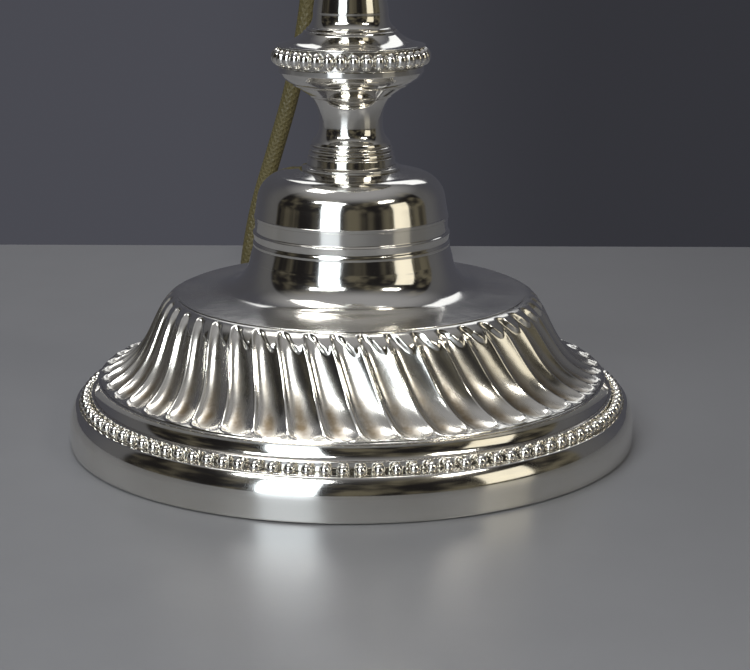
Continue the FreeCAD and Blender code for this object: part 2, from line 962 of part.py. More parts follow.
def make_shoulder():
    z = shoulder_level
    ring_foot = z + size.shoulder_ring_rise
    return turned(
        "shoulder",
        [
            (size.shoulder_radius, z),
            (size.shoulder_radius, z + size.reed_height, size.shoulder_bend),
            (size.shoulder_ring_radius - size.reed, ring_foot),
            (size.shoulder_ring_radius, ring_foot),
            (size.shoulder_ring_radius, ring_foot + size.reed_height),
            (
                size.shoulder_ring_radius - size.reed * 2,
                ring_foot + size.reed_height * 1.5,
                -size.shoulder_neck_bend,
            ),
            (size.shoulder_neck_radius, z + size.shoulder_neck_rise, -size.shoulder_neck_bend / 2),
            (size.shoulder_lip_radius, cup_level - size.reed_height),
            (size.shoulder_lip_radius, cup_level),
            (rod_hole, cup_level),
            (rod_hole, z),
        ],
    )


def make_candle_cup():
    z = cup_level
    socket_floor = pan_level - size.socket_depth
    return turned(
        "candle_cup",
        [
            (size.shoulder_lip_radius, z),
            (size.shoulder_lip_radius + size.reed, z + size.reed_height),
            (size.shoulder_lip_radius - size.reed * 2, z + size.reed_height * 3, size.cup_belly_bend),
            (size.cup_belly_radius, z + size.cup_belly_rise, size.cup_belly_bend),
            (size.cup_waist_radius, z + size.cup_height - size.cup_waist_drop, -size.cup_belly_bend / 4),
            (size.cup_lip_radius, pan_level - size.reed_height * 2),
            (size.cup_lip_radius, pan_level),
            (size.socket_radius, pan_level),
            (size.socket_radius, socket_floor),
            (rod_hole, socket_floor),
            (rod_hole, z),
        ],
    )


def make_drip_pan():
    z = pan_level
    spigot = size.socket_radius - size.slip * 3
    bore = spigot - size.spigot_wall
    rim_inner = size.pan_radius - size.pan_rim_width
    return turned(
        "drip_pan",
        [
            (bore, z - size.spigot_length),
            (spigot, z - size.spigot_length),
            (spigot, z),
            (size.cup_lip_radius, z, size.pan_bend),
            (size.pan_radius, z + size.pan_depth - size.reed_height),
            (size.pan_radius, z + size.pan_depth),
            (rim_inner, z + size.pan_depth, -size.pan_bend),
            (size.cup_lip_radius - size.reed, z + size.pan_floor),
            (bore, z + size.pan_floor),
        ],
    )


def make_pan_bead_ring():
    circle = size.pan_radius - size.pan_rim_width / 2
    return upright_bead_ring(
        "drip_pan_bead_ring",
        circle,
        size.pan_bead_radius,
        size.pan_bead_count,
        pan_level + size.pan_depth,
    )


def make_holder_bush():
    z = pan_level + size.pan_floor
    bore = size.socket_radius - size.slip * 3 - size.spigot_wall
    return turned(
        "holder_bush",
        [
            (rod_hole, z - size.spigot_length * 0.7),
            (bore - size.slip, z - size.spigot_length * 0.7),
            (bore - size.slip, z),
            (size.bush_flange_radius, z),
            (size.bush_flange_radius, z + size.bush_flange),
            (size.bush_nose_radius, nut_level),
            (rod_hole, nut_level),
        ],
    )


# ---------------------------------------------------------------- lampholder

entry_level = cap_level + size.entry_rise
bar_level = cap_level + size.bar_rise
core_flange_radius = size.cap_radius - size.wall - size.slip


def across_bore(label, radius, length, level, axis):
    """A drill through the lampholder, square to its axis and through its middle."""
    drill = cylinder(label, radius, length)
    if axis == "x":
        return place(drill, x=-length / 2, z=level, axis=Vector(0, 1, 0), turn=90)
    return place(drill, z=level, axis=Vector(1, 0, 0), turn=-90)


def make_lampholder_cap():
    z = cap_level
    inner = size.cap_radius - size.wall
    shell = turned(
        "lampholder_cap_shell",
        [
            (rod_hole, z),
            (size.cap_neck_radius, z),
            (size.cap_neck_radius, z + size.cap_neck_height, size.cap_bend),
            (size.cap_radius, z + size.cap_shoulder_rise),
            (size.cap_radius, skirt_level),
            (inner, skirt_level),
            (inner, skirt_level - size.core_flange),
            (inner - size.cap_ledge, skirt_level - size.core_flange),
            (inner - size.cap_ledge, z + size.cap_shoulder_rise, -(size.cap_bend - size.wall)),
            (size.cap_neck_radius - size.reed, z + size.cap_floor),
            (rod_hole, z + size.cap_floor),
        ],
    )
    boss = cylinder("lampholder_cap_boss", size.boss_radius, size.boss_reach - size.boss_start)
    place(boss, y=size.boss_start, z=entry_level, axis=Vector(1, 0, 0), turn=-90)
    entry = across_bore(
        "lampholder_cap_entry", size.spigot_radius + size.slip, size.boss_reach * 2, entry_level, "y"
    )
    slot = across_bore(
        "lampholder_cap_bar_holes", size.bar_radius + size.slip, size.cap_radius * 3, bar_level, "x"
    )
    body = fuse("lampholder_cap_body", [shell, boss])
    drills = fuse("lampholder_cap_drills", [entry, slot])
    return cut("lampholder_cap", body, drills)


def make_holder_core():
    z = cap_level
    blank = turned(
        "holder_core_blank",
        [
            (0, z + size.core_foot_rise),
            (size.core_foot_radius, z + size.core_foot_rise),
            (size.core_foot_radius, skirt_level - size.core_flange),
            (core_flange_radius, skirt_level - size.core_flange),
            (core_flange_radius, skirt_level),
            (size.core_radius, skirt_level),
            (size.core_radius, z + size.core_head_rise),
            (0, z + size.core_head_rise),
        ],
    )
    depth = size.core_head_rise - size.plunger_seat_rise
    wells = []
    for side, sign in (("front", -1), ("back", 1)):
        well = cylinder(f"holder_core_{side}_well", size.plunger_hole_radius, depth * 2)
        wells.append(place(well, y=size.plunger_spacing * sign, z=z + size.plunger_seat_rise))
    channel = across_bore(
        "holder_core_channel", size.bar_radius + size.slip * 3, size.cap_radius * 3, bar_level, "x"
    )
    return cut("holder_core", blank, fuse("holder_core_holes", wells + [channel]))


def make_plunger(side, sign):
    z = cap_level
    pin = turned(
        f"plunger_{side}",
        [
            (0, size.plunger_foot_rise),
            (size.plunger_radius, size.plunger_foot_rise),
            (size.plunger_radius, size.plunger_head_rise - size.reed * 2),
            (size.plunger_radius - size.reed * 2, size.plunger_head_rise),
            (0, size.plunger_head_rise),
        ],
    )
    return place(pin, y=size.plunger_spacing * sign, z=z)


def make_spring(side, sign):
    """A small helical spring between the well's floor and the plunger's foot."""
    length = float(size.plunger_foot_rise) - float(size.plunger_seat_rise)
    wire = float(size.spring_wire_radius)
    rise = length - 2 * wire - 2 * float(size.slip)
    helix = Part.makeHelix(rise / int(size.spring_turns), rise, float(size.spring_radius))
    section = Part.Wire(Part.Circle(Vector(float(size.spring_radius), 0, 0), Vector(0, 1, 0), wire).toShape())
    shape = Part.Wire(helix).makePipeShell([section], True, True)
    spring = feature(f"plunger_spring_{side}", shape)
    foot = cap_level + size.plunger_seat_rise + size.spring_wire_radius + size.slip
    return place(spring, y=size.plunger_spacing * sign, z=foot)


def make_terminals():
    blocks = []
    screws = []
    top = cap_level + size.core_foot_rise
    for side, sign in (("front", -1), ("back", 1)):
        block = box(
            f"terminal_{side}", size.terminal_width, size.terminal_depth, size.terminal_height
        )
        place(
            block,
            x=-size.terminal_width / 2,
            y=size.plunger_spacing * sign - size.terminal_depth / 2,
            z=top - size.terminal_height,
        )
        blocks.append(block)
        screw = cylinder(f"terminal_screw_{side}", size.screw_radius, size.screw_length)
        place(
            screw,
            x=size.terminal_width / 2,
            y=size.plunger_spacing * sign,
            z=top - size.terminal_height / 2,
            axis=Vector(0, 1, 0),
            turn=90,
        )
        screws.append(screw)
    return [group("terminals", blocks), group("terminal_screws", screws)]


def make_lampholder_skirt():
    z = skirt_level
    blank = turned(
        "lampholder_skirt_blank",
        [
            (size.chamber_radius, z),
            (size.cap_radius, z),
            (size.cap_radius, z + size.skirt_flange),
            (size.skirt_radius, z + size.skirt_flange),
            (size.skirt_radius, mouth_level),
            (size.bayonet_radius, mouth_level),
            (size.bayonet_radius, mouth_level - size.bayonet_depth),
            (size.chamber_radius, mouth_level - size.bayonet_depth),
        ],
    )
    tools = []
    for side, sign in (("left", -1), ("right", 1)):
        down = box(f"slot_{side}_down", size.skirt_radius, size.slot_width, size.slot_depth * 2)
        foot = box(
            f"slot_{side}_foot", size.skirt_radius, size.slot_width + size.slot_turn, size.slot_width
        )
        start = size.bayonet_radius * 0.8
        for tool in (down, foot):
            place(
                tool,
                x=start * sign,
                y=size.slot_width * (-0.5 * sign),
                z=mouth_level - size.slot_depth,
                turn=0 if sign > 0 else 180,
            )
            tools.append(tool)
    return cut("lampholder_skirt", blank, fuse("bayonet_slots", tools))


def make_shade_ring():
    """The knurled ring that holds a shade on the skirt, built from one sector of its rim."""
    count = int(size.knurl_count)
    inner = float(size.skirt_radius) + float(size.ring_clearance)
    outer = float(size.ring_radius)
    height = float(size.ring_height)
    sector = wedge([(inner, 0), (outer, 0), (outer, height), (inner, height)], count)
    notch = Part.makeCylinder(float(size.knurl_radius), height * 3, Vector(outer, 0, -height))
    ring = feature("shade_ring", ring_of(sector.cut(notch), count))
    return place(ring, z=skirt_level + size.skirt_flange + size.ring_clearance)


def make_switch_bar():
    """The push bar through the lampholder, with a knob at each end; one knob rests near the cap."""
    inner_face = size.cap_radius + size.ring_clearance
    length = (inner_face + size.knob_length) * 2 + size.bar_travel
    bar = turned(
        "switch_bar",
        [
            (0, 0),
            (size.knob_radius - size.reed, 0),
            (size.knob_radius, size.reed),
            (size.knob_radius, size.knob_length),
            (size.bar_radius, size.knob_length),
            (size.bar_radius, length - size.knob_length),
            (size.knob_radius, length - size.knob_length),
            (size.knob_radius, length - size.reed),
            (size.knob_radius - size.reed, length),
            (0, length),
        ],
    )
    return place(
        bar, x=-(inner_face + size.knob_length), z=bar_level, axis=Vector(0, 1, 0), turn=90
    )


def make_entry_bush():
    """The tapered strain relief, with its spigot in the cap's boss."""
    spigot = size.boss_reach - size.boss_start
    collar_end = spigot + size.bush_collar
    bush = turned(
        "entry_bush",
        [
            (size.relief_bore, 0),
            (size.spigot_radius, 0),
            (size.spigot_radius, spigot),
            (size.bush_collar_radius, spigot),
            (size.bush_collar_radius, collar_end),
            (size.bush_collar_radius - size.reed * 3, collar_end + size.reed * 2),
            (size.relief_radius, collar_end + size.relief_length),
            (size.relief_bore, collar_end + size.relief_length),
        ],
    )
    return place(bush, y=size.boss_start, z=entry_level, axis=Vector(1, 0, 0), turn=-90)


# ---------------------------------------------------------------- flex


def arc_between(start, corner, end):
    """The tangent arc from start to end whose sides meet in corner."""
    middle = (start + end) * 0.5
    half_chord = (end - start).Length / 2
    rise = (corner - middle).Length
    half_turn = math.atan2(rise, half_chord)
    top = middle + (corner - middle).normalize() * half_chord * math.tan(half_turn / 2)
    return Part.Arc(start, top, end)


def rounded_route(points):
    """Straight runs joined by tangent arcs, each as large as its two runs allow."""
    points = [Vector(*p) for p in points]
    edges = []
    radii = []
    here = points[0]
    for before, corner, after in zip(points, points[1:], points[2:]):
        back = (before - corner).normalize()
        ahead = (after - corner).normalize()
        turn = math.pi - back.getAngle(ahead)
        set_back = 0.45 * min((before - corner).Length, (after - corner).Length)
        start = corner + back * set_back
        end = corner + ahead * set_back
        edges.append(Part.LineSegment(here, start).toShape())
        edges.append(arc_between(start, corner, end).toShape())
        radii.append(set_back / math.tan(turn / 2))
        here = end
    edges.append(Part.LineSegment(here, points[-1]).toShape())
    return Part.Wire(edges), radii


def pipe(label, path, radius):
    """A round tube along a smooth path, checked against its section times its length."""
    edge = path.OrderedEdges[0]
    start = edge.valueAt(edge.FirstParameter)
    heading = edge.tangentAt(edge.FirstParameter)
    section = Part.Wire(Part.Circle(start, heading, radius).toShape())
    sweep = Part.BRepOffsetAPI.MakePipeShell(path)
    sweep.add(section)
    sweep.build()
    sweep.makeSolid()
    solid = sweep.shape()
    expected = math.pi * radius * radius * path.Length
    print(f"{label}: length {path.Length:.1f}, volume {solid.Volume:.1f} of {expected:.1f}")
    return feature(label, solid)


def flex_start():
    """The tip of the strain relief, where the flex comes out."""
    reach = size.boss_reach + size.bush_collar + size.relief_length
    return Vector(0, float(reach), float(entry_level))


def coil_level(layer):
    lift = float(size.tie_thickness) + float(size.tie_clearance)
    return lift + float(size.flex_radius) + layer * float(size.coil_pitch)


def coil_point(turns):
    """A point of the coil after a number of turns from its start, and its heading there."""
    inwards = float(size.coil_turns_in)
    pitch = float(size.coil_pitch)
    outer = float(size.coil_radius)
    least = outer - inwards * pitch
    climb_end = inwards + 0.5
    if turns <= inwards:
        radius, growth = outer - turns * pitch, -pitch
        level, slope = coil_level(0), 0.0
    elif turns < climb_end:
        share = (turns - inwards) / 0.5
        radius = least - pitch * (0.25 - abs(turns - inwards - 0.25))
        growth = -pitch * math.cos(math.pi * share)
        level = coil_level(0) + pitch * (1 - math.cos(math.pi * share)) / 2
        slope = pitch * math.pi * math.sin(math.pi * share)
    else:
        radius, growth = least + (turns - climb_end) * pitch, pitch
        level, slope = coil_level(1), 0.0
    turn = math.pi - 2 * math.pi * turns
    outwards = Vector(math.cos(turn), math.sin(turn), 0)
    onwards = Vector(math.sin(turn), -math.cos(turn), 0)
    point = Vector(*COIL_CENTRE, level) + outwards * radius
    heading = onwards * (2 * math.pi * radius) + outwards * growth + UP * slope
    return point, heading.normalize()


def biarc(start, start_heading, end, end_heading):
    """Two arcs that meet smoothly and run from one point and heading to another."""
    chord = end - start
    both = start_heading + end_heading
    spread = 2 * (1 - start_heading.dot(end_heading))
    reach = chord.dot(both)
    length = (math.sqrt(reach * reach + spread * chord.dot(chord)) - reach) / spread
    first_corner = start + start_heading * length
    last_corner = end - end_heading * length
    joint = (first_corner + last_corner) * 0.5
    return [
        arc_between(start, first_corner, joint).toShape(),
        arc_between(joint, last_corner, end).toShape(),
    ]


def coil_path():
    """The coil's centre line: in on the floor layer, up in half a turn, and out on the upper layer."""
    steps = int(round((2 * float(size.coil_turns_in) + 0.5) * 4))
    stub = 2 * float(size.flex_radius)
    stations = [coil_point(i / 4) for i in range(steps + 1)]
    stations[0] = (stations[0][0], Vector(0, 1, 0))
    stations[-1] = (stations[-1][0], Vector(0, 1, 0))
    first, last = stations[0][0], stations[-1][0]
    edges = [Part.LineSegment(first - Vector(0, stub, 0), first).toShape()]
    for (start, out), (end, into) in zip(stations, stations[1:]):
        edges += biarc(start, out, end, into)
    edges.append(Part.LineSegment(last, last + Vector(0, stub, 0)).toShape())
    return Part.Wire(edges)


def least_self_gap(path, radius):
    """The least clear distance between two turns of a coil, measured on points of its centre line."""
    points = path.discretize(Number=1400)
    step = path.Length / (len(points) - 1)
    apart = int(8 * radius / step)
    least = min(
        (points[i] - points[j]).Length
        for i in range(0, len(points), 2)
        for j in range(i + apart, len(points), 2)
    )
    return least - 2 * radius


def make_flex():
    """The hanging stretch, the coil and the tail to the plug."""
    radius = float(size.flex_radius)
    coil = coil_path()
    coil_start = coil.OrderedVertexes[0].Point
    coil_end = coil.OrderedVertexes[-1].Point
    back = Vector(0, 1, 0)
    drop_start = flex_start()
    hanging, hanging_radii = rounded_route(
        [drop_start, drop_start + back * FLEX_FIRST_RUN]
        + FLEX_ROUTE
        + [coil_start - back * FLEX_LAST_RUN, coil_start]
    )
    plug_end = Vector(0, PLUG_FRONT + float(size.plug_wall) + float(size.grip_length), ENTRY_HEIGHT)
    tail, tail_radii = rounded_route(
        [coil_end, coil_end + back * TAIL_FIRST_RUN]
        + TAIL_ROUTE
        + [plug_end - back * TAIL_LAST_RUN, plug_end]
    )
    print("flex radii", " ".join(f"{r:.1f}" for r in hanging_radii))
    print("tail radii", " ".join(f"{r:.1f}" for r in tail_radii))
    print(f"coil least gap to itself {least_self_gap(coil, radius):.2f}")
    print(f"flex length {hanging.Length + coil.Length + tail.Length:.0f}")
    return [
        pipe("flex_drop", hanging, radius),
        pipe("flex_coil", coil, radius),
        pipe("flex_tail", tail, radius),
    ]


def make_tie():
    """The strap round the coil's turns, on the side away from the tail."""
    span = size.coil_pitch * size.coil_turns_in
    clear = size.flex_radius + size.tie_clearance
    inner_width = span + clear * 2
    inner_height = size.coil_pitch + clear * 2
    width = inner_width + size.tie_thickness * 2
    height = inner_height + size.tie_thickness * 2
    outside = box("tie_outside", width, size.tie_width, height)
    inside = box("tie_inside", inner_width, size.tie_width * 2, inner_height)
    start = size.coil_radius - span - clear - size.tie_thickness + COIL_CENTRE[0]
    place(outside, x=start, y=Size.of(COIL_CENTRE[1]) - size.tie_width / 2, z=0.0)
    place(
        inside,
        x=start + size.tie_thickness,
        y=Size.of(COIL_CENTRE[1]) - size.tie_width,
        z=size.tie_thickness,
    )
    return cut("cord_tie", outside, inside)


def make_leads():
    """The two insulated cores from the strain relief to the terminals."""
    radius = float(size.lead_radius)
    spacing = float(size.plunger_spacing)
    level = float(cap_level + size.core_foot_rise - size.terminal_height / 2)
    entry = float(entry_level)
    face = spacing + float(size.terminal_depth) / 2
    side = float(size.terminal_width) / 2
    start = float(size.boss_start)
    back, _ = rounded_route(
        [
            (0.8, start + 2, entry),
            (0.8, start - 2.2, entry - 0.2),
            (0.8, face + 2.6, level + 0.1),
            (0.8, face, level),
        ]
    )
    front, _ = rounded_route(
        [
            (-0.8, start + 2, entry),
            (-1.2, start - 2.2, entry - 0.2),
            (-3.4, face + 3.2, level + 0.2),
            (-side - 3.2, face - 2.0, level),
            (-side - 3.4, -spacing + 2.4, level + 0.1),
            (-side - 2.4, -spacing, level),
            (-side, -spacing, level),
        ]
    )
    solids = [pipe("lead_back", back, radius), pipe("lead_front", front, radius)]
    return group("inner_leads", solids)


# ---------------------------------------------------------------- plug


def rounded_plate(label, inset, height):
    """A plate of the plug's outline, drawn in by an inset, with round corners."""
    half = size.plug_width / 2 - inset
    front = inset
    back = size.plug_length - inset
    corner = size.plug_corner - inset
    return plate(
        label,
        [
            (size.plug_width + size.plug_wall - inset, front + corner),
            (size.plug_width + size.plug_wall - inset, back - corner, corner),
            (size.plug_width + size.plug_wall - inset - corner, back),
            (size.plug_width + size.plug_wall - half * 2 - inset + corner, back, corner),
            (size.plug_width + size.plug_wall - half * 2 - inset, back - corner),
            (size.plug_width + size.plug_wall - half * 2 - inset, front + corner, corner),
            (size.plug_width + size.plug_wall - half * 2 - inset + corner, front),
            (size.plug_width + size.plug_wall - inset - corner, front, corner),
        ],
        height,
    )


def at_plug(thing, x, y, z, **turned_by):
    """Places a piece by its place on the plug, whose front middle is on the floor."""
    return place(thing, x=x, y=Size.of(y) + PLUG_FRONT, z=z, **turned_by)


def outline_shift():
    """The plug's outline is drawn clear of its sketch's axes; this brings it back to the middle."""
    return -(size.plug_width / 2 + size.plug_wall)


def make_plug_cover():
    outside = at_plug(rounded_plate("plug_cover_outside", Size.of(0), size.plug_cover_height), outline_shift(), 0, 0.0)
    inside = at_plug(
        rounded_plate("plug_cover_inside", size.plug_wall, size.plug_cover_height),
        outline_shift(),
        0,
        size.plug_wall,
    )
    entry = cylinder("plug_cover_entry", size.flex_radius + size.slip * 2, size.plug_wall * 3)
    at_plug(entry, 0.0, -size.plug_wall, ENTRY_HEIGHT, axis=Vector(1, 0, 0), turn=-90)
    post = cylinder("plug_cover_post", size.plug_screw_head, size.plug_cover_height)
    at_plug(post, 0.0, size.plug_length / 2, 0.0)
    thread = cylinder("plug_cover_thread", size.plug_screw_radius, size.plug_cover_height * 2)
    at_plug(thread, 0.0, size.plug_length / 2, size.plug_wall)
    shell = cut("plug_cover_shell", outside, inside)
    body = fuse("plug_cover_body", [shell, post])
    return cut("plug_cover", body, fuse("plug_cover_holes", [entry, thread]))


def pin_places():
    """Each pin's name, place on the plug, width across and depth along, and reach above the base."""
    row = size.pin_row
    return [
        ("line", -size.pin_half_spacing, row, size.pin_width, size.pin_thickness, size.pin_reach),
        ("neutral", size.pin_half_spacing, row, size.pin_width, size.pin_thickness, size.pin_reach),
        (
            "earth",
            Size.of(0),
            row + size.earth_spacing,
            size.pin_thickness,
            size.earth_width,
            size.earth_reach,
        ),
    ]


def make_plug_base():
    blank = at_plug(
        rounded_plate("plug_base_blank", Size.of(0), size.plug_base_height),
        outline_shift(),
        0,
        size.plug_cover_height,
    )
    tools = []
    for name, x, y, width, depth, _ in pin_places():
        hole = box(
            f"plug_base_{name}_hole",
            width + size.slip * 2,
            depth + size.slip * 2,
            size.plug_base_height * 3,
        )
        at_plug(
            hole,
            x - width / 2 - size.slip,
            y - depth / 2 - size.slip,
            size.plug_cover_height - size.plug_base_height,
        )
        tools.append(hole)
    bore = cylinder("plug_base_screw_hole", size.plug_screw_radius + size.slip, size.plug_base_height * 3)
    at_plug(bore, 0.0, size.plug_length / 2, size.plug_cover_height - size.plug_base_height)
    tools.append(bore)
    recess = cylinder("plug_base_screw_recess", size.plug_screw_head, size.plug_base_height)
    top = size.plug_cover_height + size.plug_base_height
    at_plug(recess, 0.0, size.plug_length / 2, top - size.plug_screw_radius)
    tools.append(recess)
    return cut("plug_base", blank, fuse("plug_base_holes", tools))


def make_pins():
    made = []
    for name, x, y, width, depth, reach in pin_places():
        foot = size.plug_cover_height - size.pin_depth / 2
        shank = box(f"{name}_shank", width, depth, reach + size.plug_base_height + size.pin_depth / 2)
        at_plug(shank, x - width / 2, y - depth / 2, foot)
        head = box(f"{name}_head", width + size.pin_thickness, depth + size.pin_thickness, size.pin_depth / 2)
        at_plug(
            head,
            x - width / 2 - size.pin_thickness / 2,
            y - depth / 2 - size.pin_thickness / 2,
            foot,
        )
        made.append(fuse(f"plug_{name}_pin", [shank, head]))
    return made


def make_fuse():
    x = -size.plug_width / 2 + size.plug_wall + size.fuse_radius + size.clip_wall + size.plug_corner / 2
    front = size.plug_length - size.plug_wall * 2 - size.fuse_length
    level = size.plug_cover_height - size.fuse_radius - size.clip_wall - size.slip
    link = cylinder("plug_fuse", size.fuse_radius, size.fuse_length)
    at_plug(link, x, front, level, axis=Vector(1, 0, 0), turn=-90)
    half = size.fuse_radius + size.clip_wall
    clips = []
    for name, start in (("front", front), ("back", front + size.fuse_length - size.clip_length)):
        block = box(f"fuse_clip_{name}_block", half * 2, size.clip_length, half + size.slip + size.fuse_radius / 2)
        at_plug(block, x - half, start, level - size.fuse_radius / 2)
        bore = cylinder(f"fuse_clip_{name}_bore", size.fuse_radius + size.slip / 2, size.clip_length * 2)
        at_plug(bore, x, start - size.clip_length / 2, level, axis=Vector(1, 0, 0), turn=-90)
        clips.append(cut(f"fuse_clip_{name}", block, bore))
    return [link, group("fuse_clips", clips)]


def make_cord_grip():
    level = ENTRY_HEIGHT
    height = Size.of(level) * 2 - size.plug_wall
    block = box("cord_grip_block", size.grip_width, size.grip_length, height)
    at_plug(block, -size.grip_width / 2, size.plug_wall, size.plug_wall)
    bore = cylinder("cord_grip_bore", size.flex_radius, size.grip_length * 3)
    at_plug(bore, 0.0, -size.grip_length / 2, level, axis=Vector(1, 0, 0), turn=-90)
    return cut("cord_grip", block, bore)


def make_plug_screw():
    """The screw that goes through the base, between the pins, into the cover's post."""
    head_height = size.plug_screw_radius
    shank = size.plug_base_height + size.plug_cover_height / 2
    radius = size.plug_screw_radius - size.slip / 2
    head = size.plug_screw_head - size.slip
    screw = turned(
        "plug_screw",
        [
            (0, 0),
            (radius, 0),
            (radius, shank - head_height),
            (head, shank - head_height),
            (head, shank),
            (0, shank),
        ],
    )
    top = size.plug_cover_height + size.plug_base_height
    return at_plug(screw, 0.0, size.plug_length / 2, top - shank)


# ---------------------------------------------------------------- the whole lamp


def build():
    keep(make_foot_rim())
    keep(make_foot_bead_ring())
    keep(make_fluted_foot())
    keep(make_base_weight())
    keep(make_baize_pad())
    for fastener in make_fasteners():
        keep(fastener)
    keep(make_bell())
    keep(make_lower_baluster())
    keep(make_knop_bead_ring())
    keep(make_knop_cover())
    keep(make_column())
    keep(make_column_bead_ring())
    keep(make_shoulder())
    keep(make_candle_cup())
    keep(make_drip_pan())
    keep(make_pan_bead_ring())
    keep(make_holder_bush())
    keep(make_lampholder_cap())
    keep(make_holder_core())
    for side, sign in (("front", -1), ("back", 1)):
        keep(make_plunger(side, sign))
        keep(make_spring(side, sign))
    for fitting in make_terminals():
        keep(fitting)
    keep(make_lampholder_skirt())
    keep(make_shade_ring())
    keep(make_switch_bar())
    keep(make_entry_bush())
    keep(make_leads())
    for stretch in make_flex():
        keep(stretch)
    keep(make_tie())
    keep(make_plug_cover())
    keep(make_plug_base())
    for pin in make_pins():
        keep(pin)
    for fitting in make_fuse():
        keep(fitting)
    keep(make_cord_grip())
    keep(make_plug_screw())
    doc.recompute()


def check():
    """Stops if an object failed or a piece has no sound shape."""
    for thing in doc.Objects:
        if "Invalid" in thing.State or "Error" in thing.State:
            raise ValueError(f"{thing.Label} failed: {thing.State}")
    for piece in pieces:
        shape = piece.Shape
        if shape.isNull() or not shape.isValid() or not shape.Solids:
            raise ValueError(f"{piece.Label} has no sound shape")
        if min(solid.Volume for solid in shape.Solids) <= 0:
            raise ValueError(f"{piece.Label} has an empty solid")


def write():
    os.makedirs("parts", exist_ok=True)
    for piece in pieces:
        piece.Shape.exportStep(f"parts/{piece.Label}.step")
    print(f"{len(pieces)} pieces")


write_sheet()
build()
check()
write()
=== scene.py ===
"""A candlestick table lamp in lightly tarnished silver plate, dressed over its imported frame."""

import logging
import math
from dataclasses import dataclass
from enum import Enum

import bmesh
import bpy
from mathutils import Matrix, Vector


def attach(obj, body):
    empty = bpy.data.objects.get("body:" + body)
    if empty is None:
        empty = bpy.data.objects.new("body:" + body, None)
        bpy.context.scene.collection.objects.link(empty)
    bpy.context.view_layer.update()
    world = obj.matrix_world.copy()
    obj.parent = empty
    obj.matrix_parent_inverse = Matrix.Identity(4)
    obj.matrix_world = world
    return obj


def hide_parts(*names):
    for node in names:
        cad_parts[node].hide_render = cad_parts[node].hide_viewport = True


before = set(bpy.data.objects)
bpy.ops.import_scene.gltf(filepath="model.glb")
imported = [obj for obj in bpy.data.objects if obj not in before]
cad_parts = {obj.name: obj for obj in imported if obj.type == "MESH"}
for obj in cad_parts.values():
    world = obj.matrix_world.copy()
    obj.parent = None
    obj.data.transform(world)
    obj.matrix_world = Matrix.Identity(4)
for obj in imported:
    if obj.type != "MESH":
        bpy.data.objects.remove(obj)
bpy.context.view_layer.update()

MM = 0.001
LOG = logging.getLogger("candlestick_lamp")
Colour = tuple[float, float, float]
Corners = list[tuple[float, ...]]


# ---------------------------------------------------------------- levels shared with the frame, in mm

SEAT = 16.8
PLATEAU = 36.0
BELL_TOP = 66.4
KNOP = 91.4
COVER = 96.0
COLUMN = 108.0
COLUMN_TOP = 199.5
SHOULDER = 203.1
CUP = 230.1
PAN = 265.1
CAP = 274.6
SKIRT = 298.6
ENTRY = 290.1
ROD_HOLE = 5.1


class Body(Enum):
    """The moving bodies of the frame that pieces ride on."""

    LAMP = "lamp"
    SWITCH = "switch_bar"
    FRONT_CONTACT = "contact_front"
    BACK_CONTACT = "contact_back"
    SHADE_RING = "shade_ring"


class Grain(Enum):
    """The kinds of fine relief that a finish can have."""

    POLISHED = "polished"
    BRUSHED = "brushed"
    CAST = "cast"
    FELTED = "felted"
    MOULDED = "moulded"
    BRAIDED = "braided"


# ---------------------------------------------------------------- shader graphs


class Graph:
    """Adds nodes to a shader tree and links them."""

    def __init__(self, tree: bpy.types.NodeTree) -> None:
        """Starts a graph.

        Args:
            tree: the node tree that is filled.
        """
        self.tree = tree

    def node(self, kind: str, **inputs: object) -> bpy.types.Node:
        """Adds a node.

        Args:
            kind: the node's type, without its ShaderNode prefix.
            inputs: attributes of the node, or values and sockets for its inputs by name.

        Returns:
            The new node.
        """
        made = self.tree.nodes.new(f"ShaderNode{kind}")
        for name, value in inputs.items():
            label = name.replace("_", " ")
            if hasattr(made, name) and label not in made.inputs:
                setattr(made, name, value)
            elif isinstance(value, bpy.types.NodeSocket):
                self.tree.links.new(value, made.inputs[label])
            else:
                made.inputs[label].default_value = value
        return made

    def math(self, operation: str, first: object, second: object = 0.0) -> bpy.types.NodeSocket:
        """Adds a Math node.

        Args:
            operation: the node's operation.
            first: the first number or socket.
            second: the second number or socket.

        Returns:
            The result's socket.
        """
        made = self.node("Math", operation=operation)
        for slot, value in zip(made.inputs, (first, second)):
            self.feed(slot, value)
        return made.outputs[0]

    def feed(self, slot: bpy.types.NodeSocket, value: object) -> None:
        """Gives an input a socket's value or a constant.

        Args:
            slot: the input.
            value: a socket to link, or a number or colour to set.
        """
        if isinstance(value, bpy.types.NodeSocket):
            self.tree.links.new(value, slot)
        else:
            slot.default_value = value

    def spread(self, value: object, low: float, high: float) -> bpy.types.NodeSocket:
        """Maps low to 0 and high to 1, smoothly and clamped.

        Args:
            value: the number or socket that is mapped.
            low: the value that becomes 0.
            high: the value that becomes 1.

        Returns:
            The mapped value's socket.
        """
        made = self.node("MapRange", interpolation_type="SMOOTHSTEP")
        self.feed(made.inputs["Value"], value)
        made.inputs["From Min"].default_value = low
        made.inputs["From Max"].default_value = high
        return made.outputs["Result"]

    def mix(self, factor: object, first: object, second: object) -> bpy.types.NodeSocket:
        """Mixes two colours.

        Args:
            factor: the share of the second colour.
            first: the first colour or socket.
            second: the second colour or socket.

        Returns:
            The mixed colour's socket.
        """
        made = self.node("Mix", data_type="RGBA")
        self.feed(made.inputs[0], factor)
        self.feed(made.inputs[6], first)
        self.feed(made.inputs[7], second)
        return made.outputs[2]


